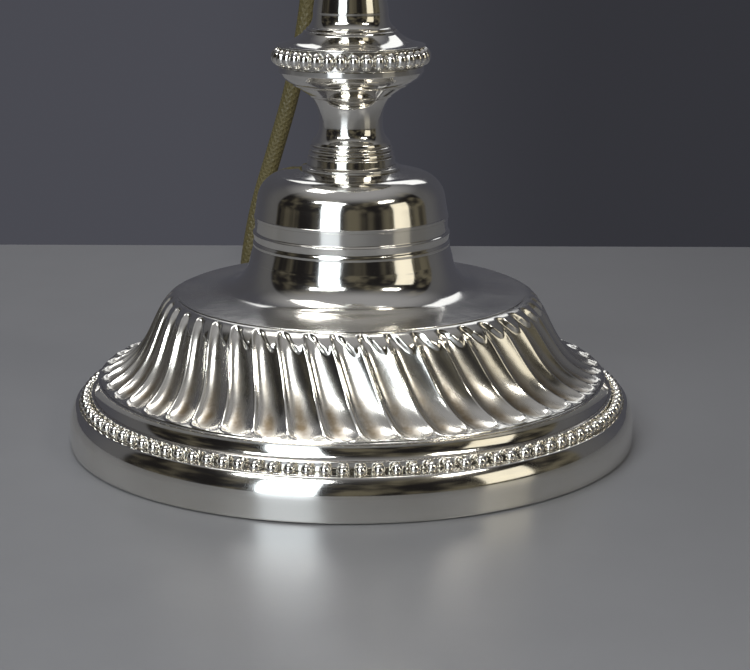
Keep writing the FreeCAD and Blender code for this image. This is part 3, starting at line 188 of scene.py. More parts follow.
def group_of(name: str, inputs: dict[str, float], outputs: list[str]) -> tuple[Graph, dict, dict]:
    """Starts a shader node group with named sockets.

    Args:
        name: the group's name.
        inputs: each input's name and default.
        outputs: the outputs' names.

    Returns:
        Its graph, the sockets that bring its inputs, and the sockets that take its outputs.
    """
    tree = bpy.data.node_groups.new(name, "ShaderNodeTree")
    for label, default in inputs.items():
        socket = tree.interface.new_socket(label, in_out="INPUT", socket_type="NodeSocketFloat")
        socket.default_value = default
    for label in outputs:
        tree.interface.new_socket(label, in_out="OUTPUT", socket_type="NodeSocketFloat")
    entry = tree.nodes.new("NodeGroupInput")
    leave = tree.nodes.new("NodeGroupOutput")
    return Graph(tree), {s.name: s for s in entry.outputs}, {s.name: s for s in leave.inputs}


def wear_group() -> bpy.types.NodeTree:
    """Builds the handling wear that every polished or moulded finish shares.

    Returns:
        A group that puts out soft smears, fine scratches and slow waves of the surface.
    """
    graph, given, wanted = group_of(
        "handling_wear", {"Smear Scale": 90.0, "Scratch Scale": 700.0}, ["Smear", "Scratch", "Wave"]
    )
    place = graph.node("TexCoord").outputs["Object"]
    smear = graph.node("TexNoise", Vector=place, Scale=given["Smear Scale"], Detail=5.0, Roughness=0.6)
    graph.feed(wanted["Smear"], graph.spread(smear.outputs[0], 0.32, 0.72))
    stretched = graph.node("Mapping", Vector=place, Scale=(1.0, 1.0, 0.08), Rotation=(0.35, 0.2, 0.0))
    fine = graph.node(
        "TexNoise", Vector=stretched.outputs[0], Scale=given["Scratch Scale"], Detail=3.0, Roughness=0.75
    )
    graph.feed(wanted["Scratch"], graph.spread(fine.outputs[0], 0.45, 0.7))
    wave = graph.node("TexNoise", Vector=place, Scale=38.0, Detail=1.0, Roughness=0.4)
    graph.feed(wanted["Wave"], wave.outputs[0])
    return graph.tree


def crevice_group() -> bpy.types.NodeTree:
    """Builds the grime that gathers in the hollows of a surface.

    Returns:
        A group that turns a piece's hollow attribute into a broken-up mask.
    """
    graph, given, wanted = group_of(
        "crevice_grime", {"Amount": 1.0, "Patch Scale": 160.0}, ["Mask", "Bloom"]
    )
    place = graph.node("TexCoord").outputs["Object"]
    hollow = graph.node("Attribute", attribute_name="hollow").outputs["Fac"]
    patch = graph.node(
        "TexNoise", Vector=place, Scale=given["Patch Scale"], Detail=6.0, Roughness=0.65
    ).outputs[0]
    broken = graph.math("MULTIPLY", hollow, graph.math("ADD", graph.math("MULTIPLY", patch, 1.3), 0.25))
    mask = graph.spread(broken, 0.12, 0.85)
    graph.feed(wanted["Mask"], graph.math("MULTIPLY", mask, given["Amount"]))
    slow = graph.node("TexNoise", Vector=place, Scale=34.0, Detail=4.0, Roughness=0.6).outputs[0]
    graph.feed(wanted["Bloom"], graph.spread(slow, 0.46, 0.7))
    return graph.tree


# ---------------------------------------------------------------- finishes


@dataclass(frozen=True)
class Finish:
    """A finish of the lamp's pieces.

    Attributes:
        slot: the record's material slot.
        colour: the clean colour.
        deep: the colour in hollows.
        bloom: the colour of slow patches.
        metallic: 1 for a bare metal.
        roughness: the clean roughness.
        dulling: how much rougher hollows are.
        grain: the kind of fine relief.
        relief: the depth of the relief in mm.
        grime: the amount of grime in hollows.
        coat: the weight of a clear coat.
    """

    slot: str
    colour: Colour
    deep: Colour
    bloom: Colour
    metallic: float = 0.0
    roughness: float = 0.4
    dulling: float = 0.25
    grain: Grain = Grain.MOULDED
    relief: float = 0.01
    grime: float = 1.0
    coat: float = 0.0

    def material(self) -> bpy.types.Material:
        """Builds the finish's material, or finds it if it has been built.

        Returns:
            The material.
        """
        found = bpy.data.materials.get(f"finish_{self.slot}")
        if found:
            return found
        made = bpy.data.materials.new(f"finish_{self.slot}")
        made.use_nodes = True
        made.node_tree.nodes.clear()
        graph = Graph(made.node_tree)
        wear = self._group(graph, "handling_wear", wear_group)
        grime = self._group(graph, "crevice_grime", crevice_group)
        grime.inputs["Amount"].default_value = self.grime
        bloomed = graph.mix(
            graph.math("MULTIPLY", grime.outputs["Bloom"], 0.5), (*self.colour, 1), (*self.bloom, 1)
        )
        coloured = graph.mix(grime.outputs["Mask"], bloomed, (*self.deep, 1))
        dull = graph.math("MULTIPLY", grime.outputs["Mask"], self.dulling)
        rough = graph.math("ADD", dull, self.roughness * 0.75)
        rough = graph.math("ADD", rough, graph.math("MULTIPLY", wear.outputs["Smear"], self.roughness * 0.5))
        if self.grain is Grain.POLISHED:
            satin = graph.node("Attribute", attribute_name="satin").outputs["Fac"]
            rough = graph.math("ADD", rough, graph.math("MULTIPLY", satin, 0.08))
        shader = graph.node("BsdfPrincipled", Metallic=self.metallic)
        shader.inputs["Coat Weight"].default_value = self.coat
        shader.inputs["Coat Roughness"].default_value = 0.12
        graph.feed(shader.inputs["Base Color"], coloured)
        graph.feed(shader.inputs["Roughness"], rough)
        bump = graph.node("Bump", Strength=1.0, Distance=self.relief * MM)
        graph.feed(bump.inputs["Height"], self._height(graph, wear))
        graph.feed(shader.inputs["Normal"], bump.outputs["Normal"])
        if self.grain is Grain.FELTED:
            shader.inputs["Sheen Weight"].default_value = 0.6
            shader.inputs["Sheen Roughness"].default_value = 0.5
        output = graph.node("OutputMaterial")
        graph.feed(output.inputs["Surface"], shader.outputs[0])
        return made

    def _group(self, graph: Graph, name: str, build: object) -> bpy.types.Node:
        """Places a shared node group.

        Args:
            graph: the material's graph.
            name: the group's name.
            build: the function that builds it the first time.

        Returns:
            The group's node.
        """
        node = graph.node("Group")
        node.node_tree = bpy.data.node_groups.get(name) or build()
        return node

    def _height(self, graph: Graph, wear: bpy.types.Node) -> bpy.types.NodeSocket:
        """Builds the height of the finish's fine relief.

        Args:
            graph: the material's graph.
            wear: the placed wear group.

        Returns:
            The height's socket.
        """
        place = graph.node("TexCoord")
        if self.grain is Grain.POLISHED:
            slow = graph.math("MULTIPLY", wear.outputs["Wave"], 5.0)
            fine = graph.math("MULTIPLY", wear.outputs["Scratch"], 0.06)
            satin = graph.node("Attribute", attribute_name="satin").outputs["Fac"]
            dents = graph.node("TexNoise", Vector=place.outputs["Object"], Scale=330.0, Detail=3.0).outputs[0]
            rubbed = graph.math("MULTIPLY", satin, graph.math("MULTIPLY", dents, 2.6))
            return graph.math("ADD", graph.math("ADD", slow, fine), rubbed)
        if self.grain is Grain.BRUSHED:
            return wear.outputs["Scratch"]
        if self.grain is Grain.CAST:
            pits = graph.node("TexNoise", Vector=place.outputs["Object"], Scale=900.0, Detail=6.0)
            return pits.outputs[0]
        if self.grain is Grain.FELTED:
            pile = graph.node("TexNoise", Vector=place.outputs["Object"], Scale=2600.0, Detail=4.0)
            return pile.outputs[0]
        if self.grain is Grain.BRAIDED:
            return self._braid(graph, place.outputs["UV"])
        orange = graph.node("TexNoise", Vector=place.outputs["Object"], Scale=1500.0, Detail=2.0)
        return orange.outputs[0]

    def _braid(self, graph: Graph, along: bpy.types.NodeSocket) -> bpy.types.NodeSocket:
        """Builds two crossing sets of strands on a cord.

        Args:
            graph: the material's graph.
            along: the cord's own map, lengthwise and round it.

        Returns:
            The height's socket.
        """
        parts = graph.node("SeparateXYZ", Vector=along)
        length = graph.math("MULTIPLY", parts.outputs[0], 1180.0)
        round_ = graph.math("MULTIPLY", parts.outputs[1], 8.0)
        left = graph.math("SINE", graph.math("MULTIPLY", graph.math("ADD", length, round_), math.tau))
        right = graph.math("SINE", graph.math("MULTIPLY", graph.math("SUBTRACT", length, round_), math.tau))
        return graph.math("MAXIMUM", left, right)


SILVER = Finish(
    "tarnished_silver_plate", (0.87, 0.85, 0.80), (0.2, 0.155, 0.1), (0.76, 0.72, 0.62),
    metallic=1.0, roughness=0.095, dulling=0.32, grain=Grain.POLISHED, relief=0.014,
)
HOLDER_BRASS = Finish(
    "lampholder_brass", (0.78, 0.58, 0.26), (0.22, 0.13, 0.05), (0.68, 0.47, 0.18),
    metallic=1.0, roughness=0.2, grain=Grain.POLISHED, relief=0.01, coat=0.4,
)
CONTACT_BRASS = Finish(
    "contact_brass", (0.80, 0.62, 0.32), (0.25, 0.16, 0.07), (0.70, 0.52, 0.24),
    metallic=1.0, roughness=0.28, grain=Grain.BRUSHED, relief=0.004,
)
PORCELAIN = Finish(
    "porcelain", (0.86, 0.85, 0.80), (0.40, 0.36, 0.28), (0.82, 0.80, 0.73), roughness=0.12, relief=0.004,
)
BAKELITE = Finish(
    "dark_bakelite", (0.045, 0.028, 0.018), (0.015, 0.01, 0.008), (0.07, 0.045, 0.03),
    roughness=0.22, relief=0.004,
)
GOLD_SHEATH = Finish(
    "gold_flex_sheath", (0.115, 0.094, 0.034), (0.05, 0.04, 0.016), (0.09, 0.074, 0.028),
    roughness=0.6, grain=Grain.BRAIDED, relief=0.09,
)
CORE_SHEATH = Finish("flex_core", (0.25, 0.14, 0.08), (0.08, 0.05, 0.03), (0.2, 0.12, 0.07), relief=0.003)
CAST_IRON = Finish(
    "cast_iron", (0.10, 0.10, 0.10), (0.10, 0.05, 0.03), (0.13, 0.10, 0.08),
    metallic=0.4, roughness=0.75, grain=Grain.CAST, relief=0.25,
)
BAIZE = Finish(
    "green_baize", (0.035, 0.13, 0.065), (0.02, 0.06, 0.03), (0.05, 0.15, 0.08),
    roughness=0.95, grain=Grain.FELTED, relief=0.15,
)
ZINC = Finish(
    "zinc_steel", (0.58, 0.57, 0.54), (0.2, 0.18, 0.15), (0.5, 0.48, 0.44),
    metallic=1.0, roughness=0.36, grain=Grain.BRUSHED, relief=0.004,
)
SPRING_WIRE = Finish(
    "spring_steel", (0.48, 0.48, 0.49), (0.2, 0.2, 0.2), (0.42, 0.42, 0.43),
    metallic=1.0, roughness=0.3, grain=Grain.BRUSHED, relief=0.002,
)
STRAP = Finish(
    "tie_strap", (0.03, 0.03, 0.032), (0.01, 0.01, 0.01), (0.04, 0.04, 0.042), roughness=0.6, relief=0.03,
)
PLUG_SHELL = Finish(
    "plug_shell", (0.035, 0.035, 0.037), (0.01, 0.01, 0.01), (0.045, 0.045, 0.048),
    roughness=0.38, relief=0.01,
)
FUSE_TUBE = Finish("fuse_ceramic", (0.8, 0.76, 0.66), (0.3, 0.27, 0.2), (0.75, 0.7, 0.6), roughness=0.3)
GRIP_FIBRE = Finish(
    "grip_fibre", (0.33, 0.09, 0.06), (0.12, 0.03, 0.02), (0.28, 0.08, 0.05), roughness=0.7, relief=0.03,
)


# ---------------------------------------------------------------- making pieces


def publish(
    bm: bmesh.types.BMesh, name: str, finish: Finish, body: Body = Body.LAMP, nodes: tuple[str, ...] = ()
) -> bpy.types.Object:
    """Turns a finished bmesh into a piece of the lamp.

    Args:
        bm: the mesh, which is freed.
        name: the piece's name.
        finish: its finish.
        body: the body that it rides on.
        nodes: the frame's nodes that it stands for.

    Returns:
        The piece's object.
    """
    for face in bm.faces:
        face.smooth = True
    mesh = bpy.data.meshes.new(name)
    bm.to_mesh(mesh)
    bm.free()
    piece = bpy.data.objects.new(name, mesh)
    bpy.context.scene.collection.objects.link(piece)
    mesh.materials.append(finish.material())
    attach(piece, body.value)
    if nodes:
        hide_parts(*nodes)
    LOG.info("%s: %d faces", name, len(mesh.polygons))
    return piece


def soften(piece: bpy.types.Object, width: float, segments: int = 2, angle: float = 35.0) -> None:
    """Rounds a piece's sharp edges.

    Args:
        piece: the piece.
        width: the rounding's width in mm.
        segments: the faces across the rounding.
        angle: the least angle of a rounded edge, in degrees.
    """
    bevel = piece.modifiers.new("softened", "BEVEL")
    bevel.width = width * MM
    bevel.segments = segments
    bevel.limit_method = "ANGLE"
    bevel.angle_limit = math.radians(angle)
    bevel.harden_normals = False


class Stretch:
    """One stretch of an outline: a straight line or an arc."""

    def __init__(self, start: Vector, end: Vector, bend: float) -> None:
        """Sets up the stretch.

        Args:
            start: where it starts.
            end: where it ends.
            bend: its radius, positive where its centre lies on the left, or 0 for a line.
        """
        self.start, self.end, self.bend = start, end, bend
        chord = end - start
        self.length = chord.length
        self.sweep = 0.0
        if bend:
            half = chord.length / 2
            across = Vector((-chord.y, chord.x)).normalized()
            reach = math.sqrt(max(bend * bend - half * half, 0.0))
            self.centre = (start + end) / 2 + across * math.copysign(reach, bend)
            self.sweep = math.copysign(2 * math.asin(min(1.0, half / abs(bend))), bend)
            self.length = abs(self.sweep * bend)
            offset = start - self.centre
            self.angle = math.atan2(offset.y, offset.x)

    def at(self, share: float) -> Vector:
        """Finds the point at a share of the stretch.

        Args:
            share: from 0 at its start to 1 at its end.

        Returns:
            The point.
        """
        if not self.bend:
            return self.start.lerp(self.end, share)
        angle = self.angle + self.sweep * share
        return self.centre + Vector((math.cos(angle), math.sin(angle))) * abs(self.bend)

    def heading(self, share: float) -> Vector:
        """Finds the direction of travel at a share of the stretch.

        Args:
            share: from 0 at its start to 1 at its end.

        Returns:
            The unit direction.
        """
        if not self.bend:
            return (self.end - self.start).normalized()
        angle = self.angle + self.sweep * share + math.copysign(math.pi / 2, self.bend)
        return Vector((math.cos(angle), math.sin(angle)))


@dataclass
class Outline:
    """The closed half section of a turned piece, drawn anticlockwise in mm.

    Attributes:
        corners: radius and height of each corner, with the bend of the stretch that leaves it.
        softening: the length that each sharp corner loses.
        spacing: the longest step between points.
        reach: how far grime spreads from an inner corner.
        grime: how dark an inner corner is, from 0 to 1.
    """

    corners: Corners
    softening: float = 0.22
    spacing: float = 1.6
    reach: float = 0.45
    grime: float = 0.55

    def stretches(self) -> list[Stretch]:
        """Builds the lines and arcs between the corners, in order."""
        made = []
        for i, corner in enumerate(self.corners):
            following = self.corners[(i + 1) % len(self.corners)]
            bend = corner[2] if len(corner) > 2 else 0.0
            made.append(Stretch(Vector(corner[:2]), Vector(following[:2]), bend))
        return made

    def turns(self, runs: list[Stretch]) -> list[float]:
        """Measures the turn at the start of each stretch.

        Args:
            runs: the stretches in order.

        Returns:
            The turns in radians, positive to the left.
        """
        found = []
        for i, run in enumerate(runs):
            before, after = runs[i - 1].heading(1.0), run.heading(0.0)
            found.append(math.atan2(before.x * after.y - before.y * after.x, before.dot(after)))
        return found

    def samples(self) -> list[tuple[Vector, float]]:
        """Rounds the corners and walks the outline.

        Returns:
            Each point, with how hollow the surface is there, from 0 to 1.
        """
        runs = self.stretches()
        turns = self.turns(runs)
        trims = []
        for i, turn in enumerate(turns):
            room = 0.3 * min(runs[i - 1].length, runs[i].length)
            trims.append(min(self.softening, room) if abs(turn) > 0.12 else 0.0)
        walked: list[tuple[Vector, float]] = []
        crevices: list[tuple[float, float]] = []
        travelled = 0.0
        for i, run in enumerate(runs):
            trim, next_trim = trims[i], trims[(i + 1) % len(runs)]
            if trim:
                before = runs[i - 1].at(1.0 - trim / runs[i - 1].length)
                after = run.at(trim / run.length)
                steps = 4 if abs(turns[i]) > 0.6 else 2
                for k in range(1, steps):
                    t = k / steps
                    point = before.lerp(run.start, t).lerp(run.start.lerp(after, t), t)
                    walked.append((point, travelled))
            if turns[i] < -0.25:
                crevices.append((travelled, min(1.0, -turns[i] / 0.9)))
            for share in self.shares(run, trim, next_trim):
                walked.append((run.at(share), travelled + share * run.length))
            travelled += run.length
        return [(point, self.hollow(place, crevices, travelled)) for point, place in walked]

    def shares(self, run: Stretch, trim: float, next_trim: float) -> list[float]:
        """Chooses the points along one stretch.

        Args:
            run: the stretch.
            trim: the length cut from its start.
            next_trim: the length cut from its end.

        Returns:
            Shares of its length, with one close to each rounded end.
        """
        first, last = trim / run.length, 1.0 - next_trim / run.length
        count = max(1, math.ceil(run.length / self.spacing), math.ceil(abs(run.sweep) / 0.1))
        inner_first = first + min(trim, 0.3 * run.length) / run.length
        inner_last = last - min(next_trim, 0.3 * run.length) / run.length
        found = {round(first, 6), round(inner_first, 6), round(inner_last, 6)}
        found.update(round(inner_first + (inner_last - inner_first) * k / count, 6) for k in range(count))
        if next_trim:
            found.add(round(last, 6))
        return sorted(share for share in found if share < 1.0 - 1e-6)

    def hollow(self, place: float, crevices: list[tuple[float, float]], around: float) -> float:
        """Measures how near a place on the outline is to an inner corner.

        Args:
            place: the distance travelled to it.
            crevices: the distance and depth of each inner corner.
            around: the whole way round.

        Returns:
            From 0 on open faces to 1 in a deep corner.
        """
        near = 0.0
        for where, depth in crevices:
            apart = min(abs(place - where), around - abs(place - where))
            near = max(near, depth * math.exp(-apart / self.reach))
        return near * self.grime


def close_ring(bm: bmesh.types.BMesh, ring: list[bmesh.types.BMVert]) -> None:
    """Joins points into a closed ring of edges.

    Args:
        bm: the mesh that holds the points.
        ring: the points in order.
    """
    for first, second in zip(ring, ring[1:] + ring[:1]):
        bm.edges.new((first, second))


def merge(bm: bmesh.types.BMesh, other: bmesh.types.BMesh) -> None:
    """Adds a second mesh to a mesh and frees it.

    Args:
        bm: the mesh that grows.
        other: the mesh that is added.
    """
    spare = bpy.data.meshes.new("spare")
    other.to_mesh(spare)
    other.free()
    bm.from_mesh(spare)
    bpy.data.meshes.remove(spare)


def revolve(bm: bmesh.types.BMesh, steps: int, centre: Vector = Vector()) -> None:
    """Turns a mesh's half section once round, by one sector that is then doubled.

    Args:
        bm: the mesh, which holds the half section's points and edges.
        steps: the faces round it.
        centre: a point on the axis.
    """
    sectors = next(n for n in (16, 8, 4, 2, 1) if steps % n == 0)
    bmesh.ops.spin(
        bm, geom=bm.verts[:] + bm.edges[:], cent=centre, axis=(0, 0, 1), dvec=(0, 0, 0),
        angle=math.tau / sectors, steps=steps // sectors, use_merge=False, use_duplicate=False,
    )
    made = 1
    while made < sectors:
        copied = bmesh.ops.duplicate(bm, geom=bm.verts[:] + bm.edges[:] + bm.faces[:])["geom"]
        bmesh.ops.rotate(
            bm, verts=[v for v in copied if isinstance(v, bmesh.types.BMVert)], cent=centre,
            matrix=Matrix.Rotation(math.tau * made / sectors, 3, "Z"),
        )
        made *= 2
    bmesh.ops.remove_doubles(bm, verts=bm.verts, dist=3e-7)
    bmesh.ops.dissolve_degenerate(bm, edges=bm.edges, dist=1e-8)
    bmesh.ops.recalc_face_normals(bm, faces=bm.faces)


def turned_mesh(outline: Outline, steps: int, centre: Vector = Vector()) -> bmesh.types.BMesh:
    """Turns an outline about the vertical axis.

    Args:
        outline: the half section.
        steps: the faces round the piece.
        centre: a point on the axis.

    Returns:
        The closed mesh, with a hollow layer.
    """
    bm = bmesh.new()
    layer = bm.verts.layers.float.new("hollow")
    ring = []
    for point, hollow in outline.samples():
        vertex = bm.verts.new((centre.x + point.x * MM, centre.y, centre.z + point.y * MM))
        vertex[layer] = hollow
        ring.append(vertex)
    close_ring(bm, ring)
    revolve(bm, steps, centre)
    return bm


def turned_piece(
    name: str, corners: Corners, finish: Finish, nodes: tuple[str, ...] = (), steps: int = 160,
    softening: float = 0.22, body: Body = Body.LAMP,
) -> bpy.types.Object:
    """Makes a turned piece that stands on the lamp's axis.

    Args:
        name: the piece's name.
        corners: its half section in mm.
        finish: its finish.
        nodes: the frame's nodes that it stands for.
        steps: the faces round it.
        softening: the length that sharp corners lose, in mm.
        body: the body that it rides on.

    Returns:
        The piece's object.
    """
    return publish(turned_mesh(Outline(corners, softening), steps), name, finish, body, nodes)


@dataclass
class BeadRow:
    """A ring of equal beads round the lamp's axis.

    Attributes:
        circle: the radius through the beads' middles in mm.
        level: the level of their middles in mm.
        radii: a bead's half sizes outwards, sideways and upwards in mm.
        count: the number of beads.
        segments: the faces round a bead and along it.
        grime: how dark the gaps between beads are, from 0 to 1.
        upright: whether the beads stand up from a flat band, and otherwise bulge from a belt.
    """

    circle: float
    level: float
    radii: tuple[float, float, float]
    count: int
    segments: tuple[int, int]
    grime: float
    upright: bool

    def onto(self, band: Outline, steps: int) -> bmesh.types.BMesh:
        """Makes the beads and the band that they are soldered to.

        Args:
            band: the band's half section.
            steps: the faces round the band.

        Returns:
            The mesh, with a hollow layer.
        """
        bm = bmesh.new()
        layer = bm.verts.layers.float.new("hollow")
        middle = Vector((self.circle, 0, self.level)) * MM
        shape = Matrix.Translation(middle) @ Matrix.Diagonal((*(Vector(self.radii) * MM), 1.0))
        pole = Matrix.Rotation(math.pi / 2, 4, "Y") if not self.upright else Matrix.Identity(4)
        bmesh.ops.create_uvsphere(
            bm, u_segments=self.segments[0], v_segments=self.segments[1], radius=1.0, matrix=shape @ pole
        )
        for vertex in bm.verts:
            offset = vertex.co - middle
            out = offset.z / self.radii[2] if self.upright else offset.x / self.radii[0]
            vertex[layer] = self.grime * max(0.0, min(1.0, 0.75 - out / MM * 1.25))
        bmesh.ops.spin(
            bm, geom=bm.verts[:] + bm.edges[:] + bm.faces[:], cent=(0, 0, 0), axis=(0, 0, 1),
            dvec=(0, 0, 0), angle=math.tau * (self.count - 1) / self.count, steps=self.count - 1,
            use_merge=False, use_duplicate=True,
        )
        strip = turned_mesh(band, steps)
        mask = strip.verts.layers.float["hollow"]
        for vertex in strip.verts:
            vertex[mask] = self.grime
        merge(bm, strip)
        bmesh.ops.recalc_face_normals(bm, faces=bm.faces)
        return bm


# ---------------------------------------------------------------- foot


@dataclass
class FootRim:
    """The collar, the channel for the bead wire and the step up to the flutes."""

    radius: float = 70.0
    lip: float = 68.3
    channel_outer: float = 67.45
    channel_inner: float = 64.55
    floor: float = 9.4
    step: float = 62.5
    wall: float = 1.4
    beads: int = 106
    bead_circle: float = 66.0
    bead_radius: float = 1.45

    def build(self) -> None:
        """Makes the rim and its beads."""
        turned_piece(
            "foot_rim_skin",
            [
                (self.radius, 0.0),
                (self.radius, 4.9, 8.5),
                (self.lip, self.floor + 0.6),
                (self.channel_outer, self.floor + 0.6),
                (self.channel_outer, self.floor),
                (self.channel_inner, self.floor),
                (self.channel_inner, self.floor + 2.8),
                (self.channel_inner - 0.7, self.floor + 2.8, -5.2),
                (self.step + 0.1, SEAT - 1.5),
                (self.step + 0.35, SEAT - 1.15),
                (self.step, SEAT - 0.9),
                (57.5, SEAT - 0.9),
                (57.5, SEAT - 1.0 - self.wall),
                (61.0, SEAT - 1.0 - self.wall),
                (63.15, self.floor - self.wall),
                (self.lip - self.wall, self.floor - self.wall),
                (self.radius - self.wall, 0.0),
            ],
            SILVER, ("foot_rim",), steps=288, softening=0.28,
        )
        self.bead_wire()

    def bead_wire(self) -> None:
        """Makes the ring of round beads that lies in the channel."""
        band = Outline(
            [
                (self.bead_circle - 1.05, self.floor),
                (self.bead_circle + 1.05, self.floor),
                (self.bead_circle + 1.05, self.floor + 0.6),
                (self.bead_circle - 1.05, self.floor + 0.6),
            ],
            softening=0.1,
        )
        size = self.bead_radius
        row = BeadRow(
            self.bead_circle, self.floor + 1.3, (size * 0.97, size, size), self.beads, (14, 8), 0.3, True
        )
        publish(row.onto(band, 212), "foot_beads", SILVER, nodes=("foot_bead_ring",))


@dataclass(frozen=True)
class FluteTop:
    """One half circle of a flute's upper end, drawn across the flute.

    Attributes:
        middle: its middle, from -1 at the flute's left ridge to 1 at its right one.
        half: half its width in the same measure.
        start: its least distance below the plateau's edge in mm.
        reach: how far it reaches down from there in mm.
        rounding: the length of the rounding into the flute in mm.
    """

    middle: float
    half: float
    start: float
    reach: float
    rounding: float

    def bow(self, across: float) -> float:
        """Measures the half circle's height across the flute, or 0 beside it.

        Args:
            across: from -1 at the flute's left ridge to 1 at its right one.

        Returns:
            From 0 at its ends to 1 in its middle.
        """
        off = (across - self.middle) / self.half
        return math.sqrt(max(0.0, 1.0 - off * off))


@dataclass
class FlutedCove:
    """The cove that rises from the rim to the plateau, with its swirling flutes.

    Attributes:
        flutes: the number of flutes.
        twist: how far a flute turns on its way down.
        depth: its greatest depth in mm.
        valley: where its deepest line lies, from -1 at its left ridge to 1 at its right one.
        top_radius: the radius of the plateau's edge in mm.
        foot_radius: the radius of the cove's foot in mm.
        foot_level: the level of the cove's foot in mm.
        border: the plain strip below the flutes in mm.
        ridge_half: half the width of a ridge's crest in mm.
        arch: the flute's rounded start on its left.
        tongue: the plateau's rounded tongue on its right.
        rows: the rows of faces from top to foot.
        columns: the columns of points from a flute's middle line to its ridge.
    """

    flutes: int = 46
    twist: float = math.radians(10.5)
    depth: float = 1.2
    valley: float = -0.3
    top_radius: float = 43.1
    foot_radius: float = 62.3
    foot_level: float = 16.35
    border: float = 0.45
    ridge_half: float = 0.2
    arch: FluteTop = FluteTop(-0.42, 0.52, 0.9, 1.6, 2.2)
    tongue: FluteTop = FluteTop(0.55, 0.47, 2.5, 2.9, 1.2)
    rows: int = 56
    columns: tuple[float, ...] = (0.0, 0.11, 0.22, 0.33, 0.45, 0.57, 0.69, 0.8, 0.885, 0.95)

    def ridge(self, share: float) -> tuple[Vector, Vector]:
        """Finds the ridge line's point and outward normal.

        Args:
            share: from 0 at the plateau to 1 at the seat.

        Returns:
            The point and the normal, in mm.
        """
        poles = [
            Vector((self.top_radius, PLATEAU - 0.1)),
            Vector((self.top_radius + 6.6, PLATEAU - 0.9)),
            Vector((self.foot_radius - 13.3, self.foot_level + 2.1)),
            Vector((self.foot_radius, self.foot_level)),
        ]
        rest = 1.0 - share
        point = (
            poles[0] * rest**3 + poles[1] * 3 * rest**2 * share
            + poles[2] * 3 * rest * share**2 + poles[3] * share**3
        )
        along = (
            (poles[1] - poles[0]) * rest**2 + (poles[2] - poles[1]) * 2 * rest * share
            + (poles[3] - poles[2]) * share**2
        ).normalized()
        return point, Vector((-along.y, along.x))

    def start(self, across: float) -> tuple[float, float]:
        """Finds where a flute starts: in an arch on its left, and below a rounded tongue on its right.

        Args:
            across: from -1 at its left ridge to 1 at its right one.

        Returns:
            The distance below the plateau's edge, and the length of the rounding there, in mm.
        """
        bow = self.arch.bow(across)
        if bow > 0.0:
            return self.arch.start + self.arch.reach * (1.0 - bow), self.arch.rounding
        return self.tongue.start + self.tongue.reach * self.tongue.bow(across), self.tongue.rounding

    def hollow(self, across: float, down: float, up: float, pitch: float) -> float:
        """Measures how deep the surface lies below the ridge line.

        Args:
            across: from -1 at the flute's left ridge to 1 at its right one.
            down: the distance from the plateau's edge, in mm.
            up: the distance from the foot's edge, in mm.
            pitch: the distance between flutes there, in mm.

        Returns:
            The depth in mm, negative on the fine lip at the flute's foot.
        """
        inside = across / (1.0 - 2 * self.ridge_half / pitch)
        scallop = 0.34 * pitch * (1.0 - math.sqrt(max(0.0, 1.0 - inside * inside)))
        above = up - self.border - scallop
        if above < 0.0:
            return -0.12 * math.exp(-((above / 0.25) ** 2)) + 0.2 * min(1.0, -above / 0.8)
        if abs(inside) >= 1.0:
            return 0.0
        valley = self.valley * min(1.0, 0.2 + up / 12.0)
        side = (inside - valley) / (1.0 - valley if inside > valley else -1.0 - valley)
        hollow = (1.0 - side**1.7) ** 0.9 if inside > valley else (1.0 - side**2.2) ** 0.8
        begin, rounding = self.start(inside)
        onset = min(1.0, max(0.0, (down - begin) / rounding))
        close = min(1.0, above / 1.3)
        ends = math.sqrt(1.0 - (1.0 - onset) ** 2) * math.sqrt(1.0 - (1.0 - close) ** 2)
        return self.depth * hollow * ends * min(1.0, 0.62 + up / 14.0)

    def build(self) -> None:
        """Makes the cove as one closed shell: fluted outside, smooth inside."""
        shares = [(1 - math.cos(math.pi * j / self.rows)) / 2 for j in range(self.rows + 1)]
        lengths = [0.0]
        for before, after in zip(shares, shares[1:]):
            lengths.append(lengths[-1] + (self.ridge(after)[0] - self.ridge(before)[0]).length)
        bm = bmesh.new()
        bm.verts.layers.float.new("hollow")
        satin = bm.verts.layers.float.new("satin")
        row_of = bm.verts.layers.int.new("row")
        ring = []
        for j, share in enumerate(shares):
            point = self.ridge(share)[0]
            vertex = bm.verts.new((point.x * MM, 0, point.y * MM))
            vertex[row_of] = j + 1
            vertex[satin] = 1.0
            ring.append(vertex)
        top = self.top_radius
        closing = [
            (self.foot_radius + 0.25, self.foot_level - 1.0), (self.foot_radius - 0.6, SEAT - 1.5),
            (56.0, SEAT - 1.5), (51.0, 19.6), (46.6, 24.0), (44.2, 28.6),
            (42.4, 32.4), (41.0, PLATEAU - 1.6), (ROD_HOLE, PLATEAU - 1.6), (ROD_HOLE, PLATEAU),
            (20.0, PLATEAU), (36.0, PLATEAU), (top - 1.6, PLATEAU), (top - 0.7, PLATEAU - 0.03),
        ]
        for radius, height in closing:
            ring.append(bm.verts.new((radius * MM, 0, height * MM)))
            ring[-1][satin] = 1.0
        close_ring(bm, ring)
        revolve(bm, self.flutes * len(self.columns) * 2)
        grime, row_of = bm.verts.layers.float["hollow"], bm.verts.layers.int["row"]
        for vertex in bm.verts:
            if vertex[row_of]:
                self.carve(vertex, vertex[row_of] - 1, shares, lengths, grime)
        bm.verts.layers.int.remove(row_of)
        bmesh.ops.recalc_face_normals(bm, faces=bm.faces)
        publish(bm, "fluted_cove", SILVER, nodes=("fluted_foot",))

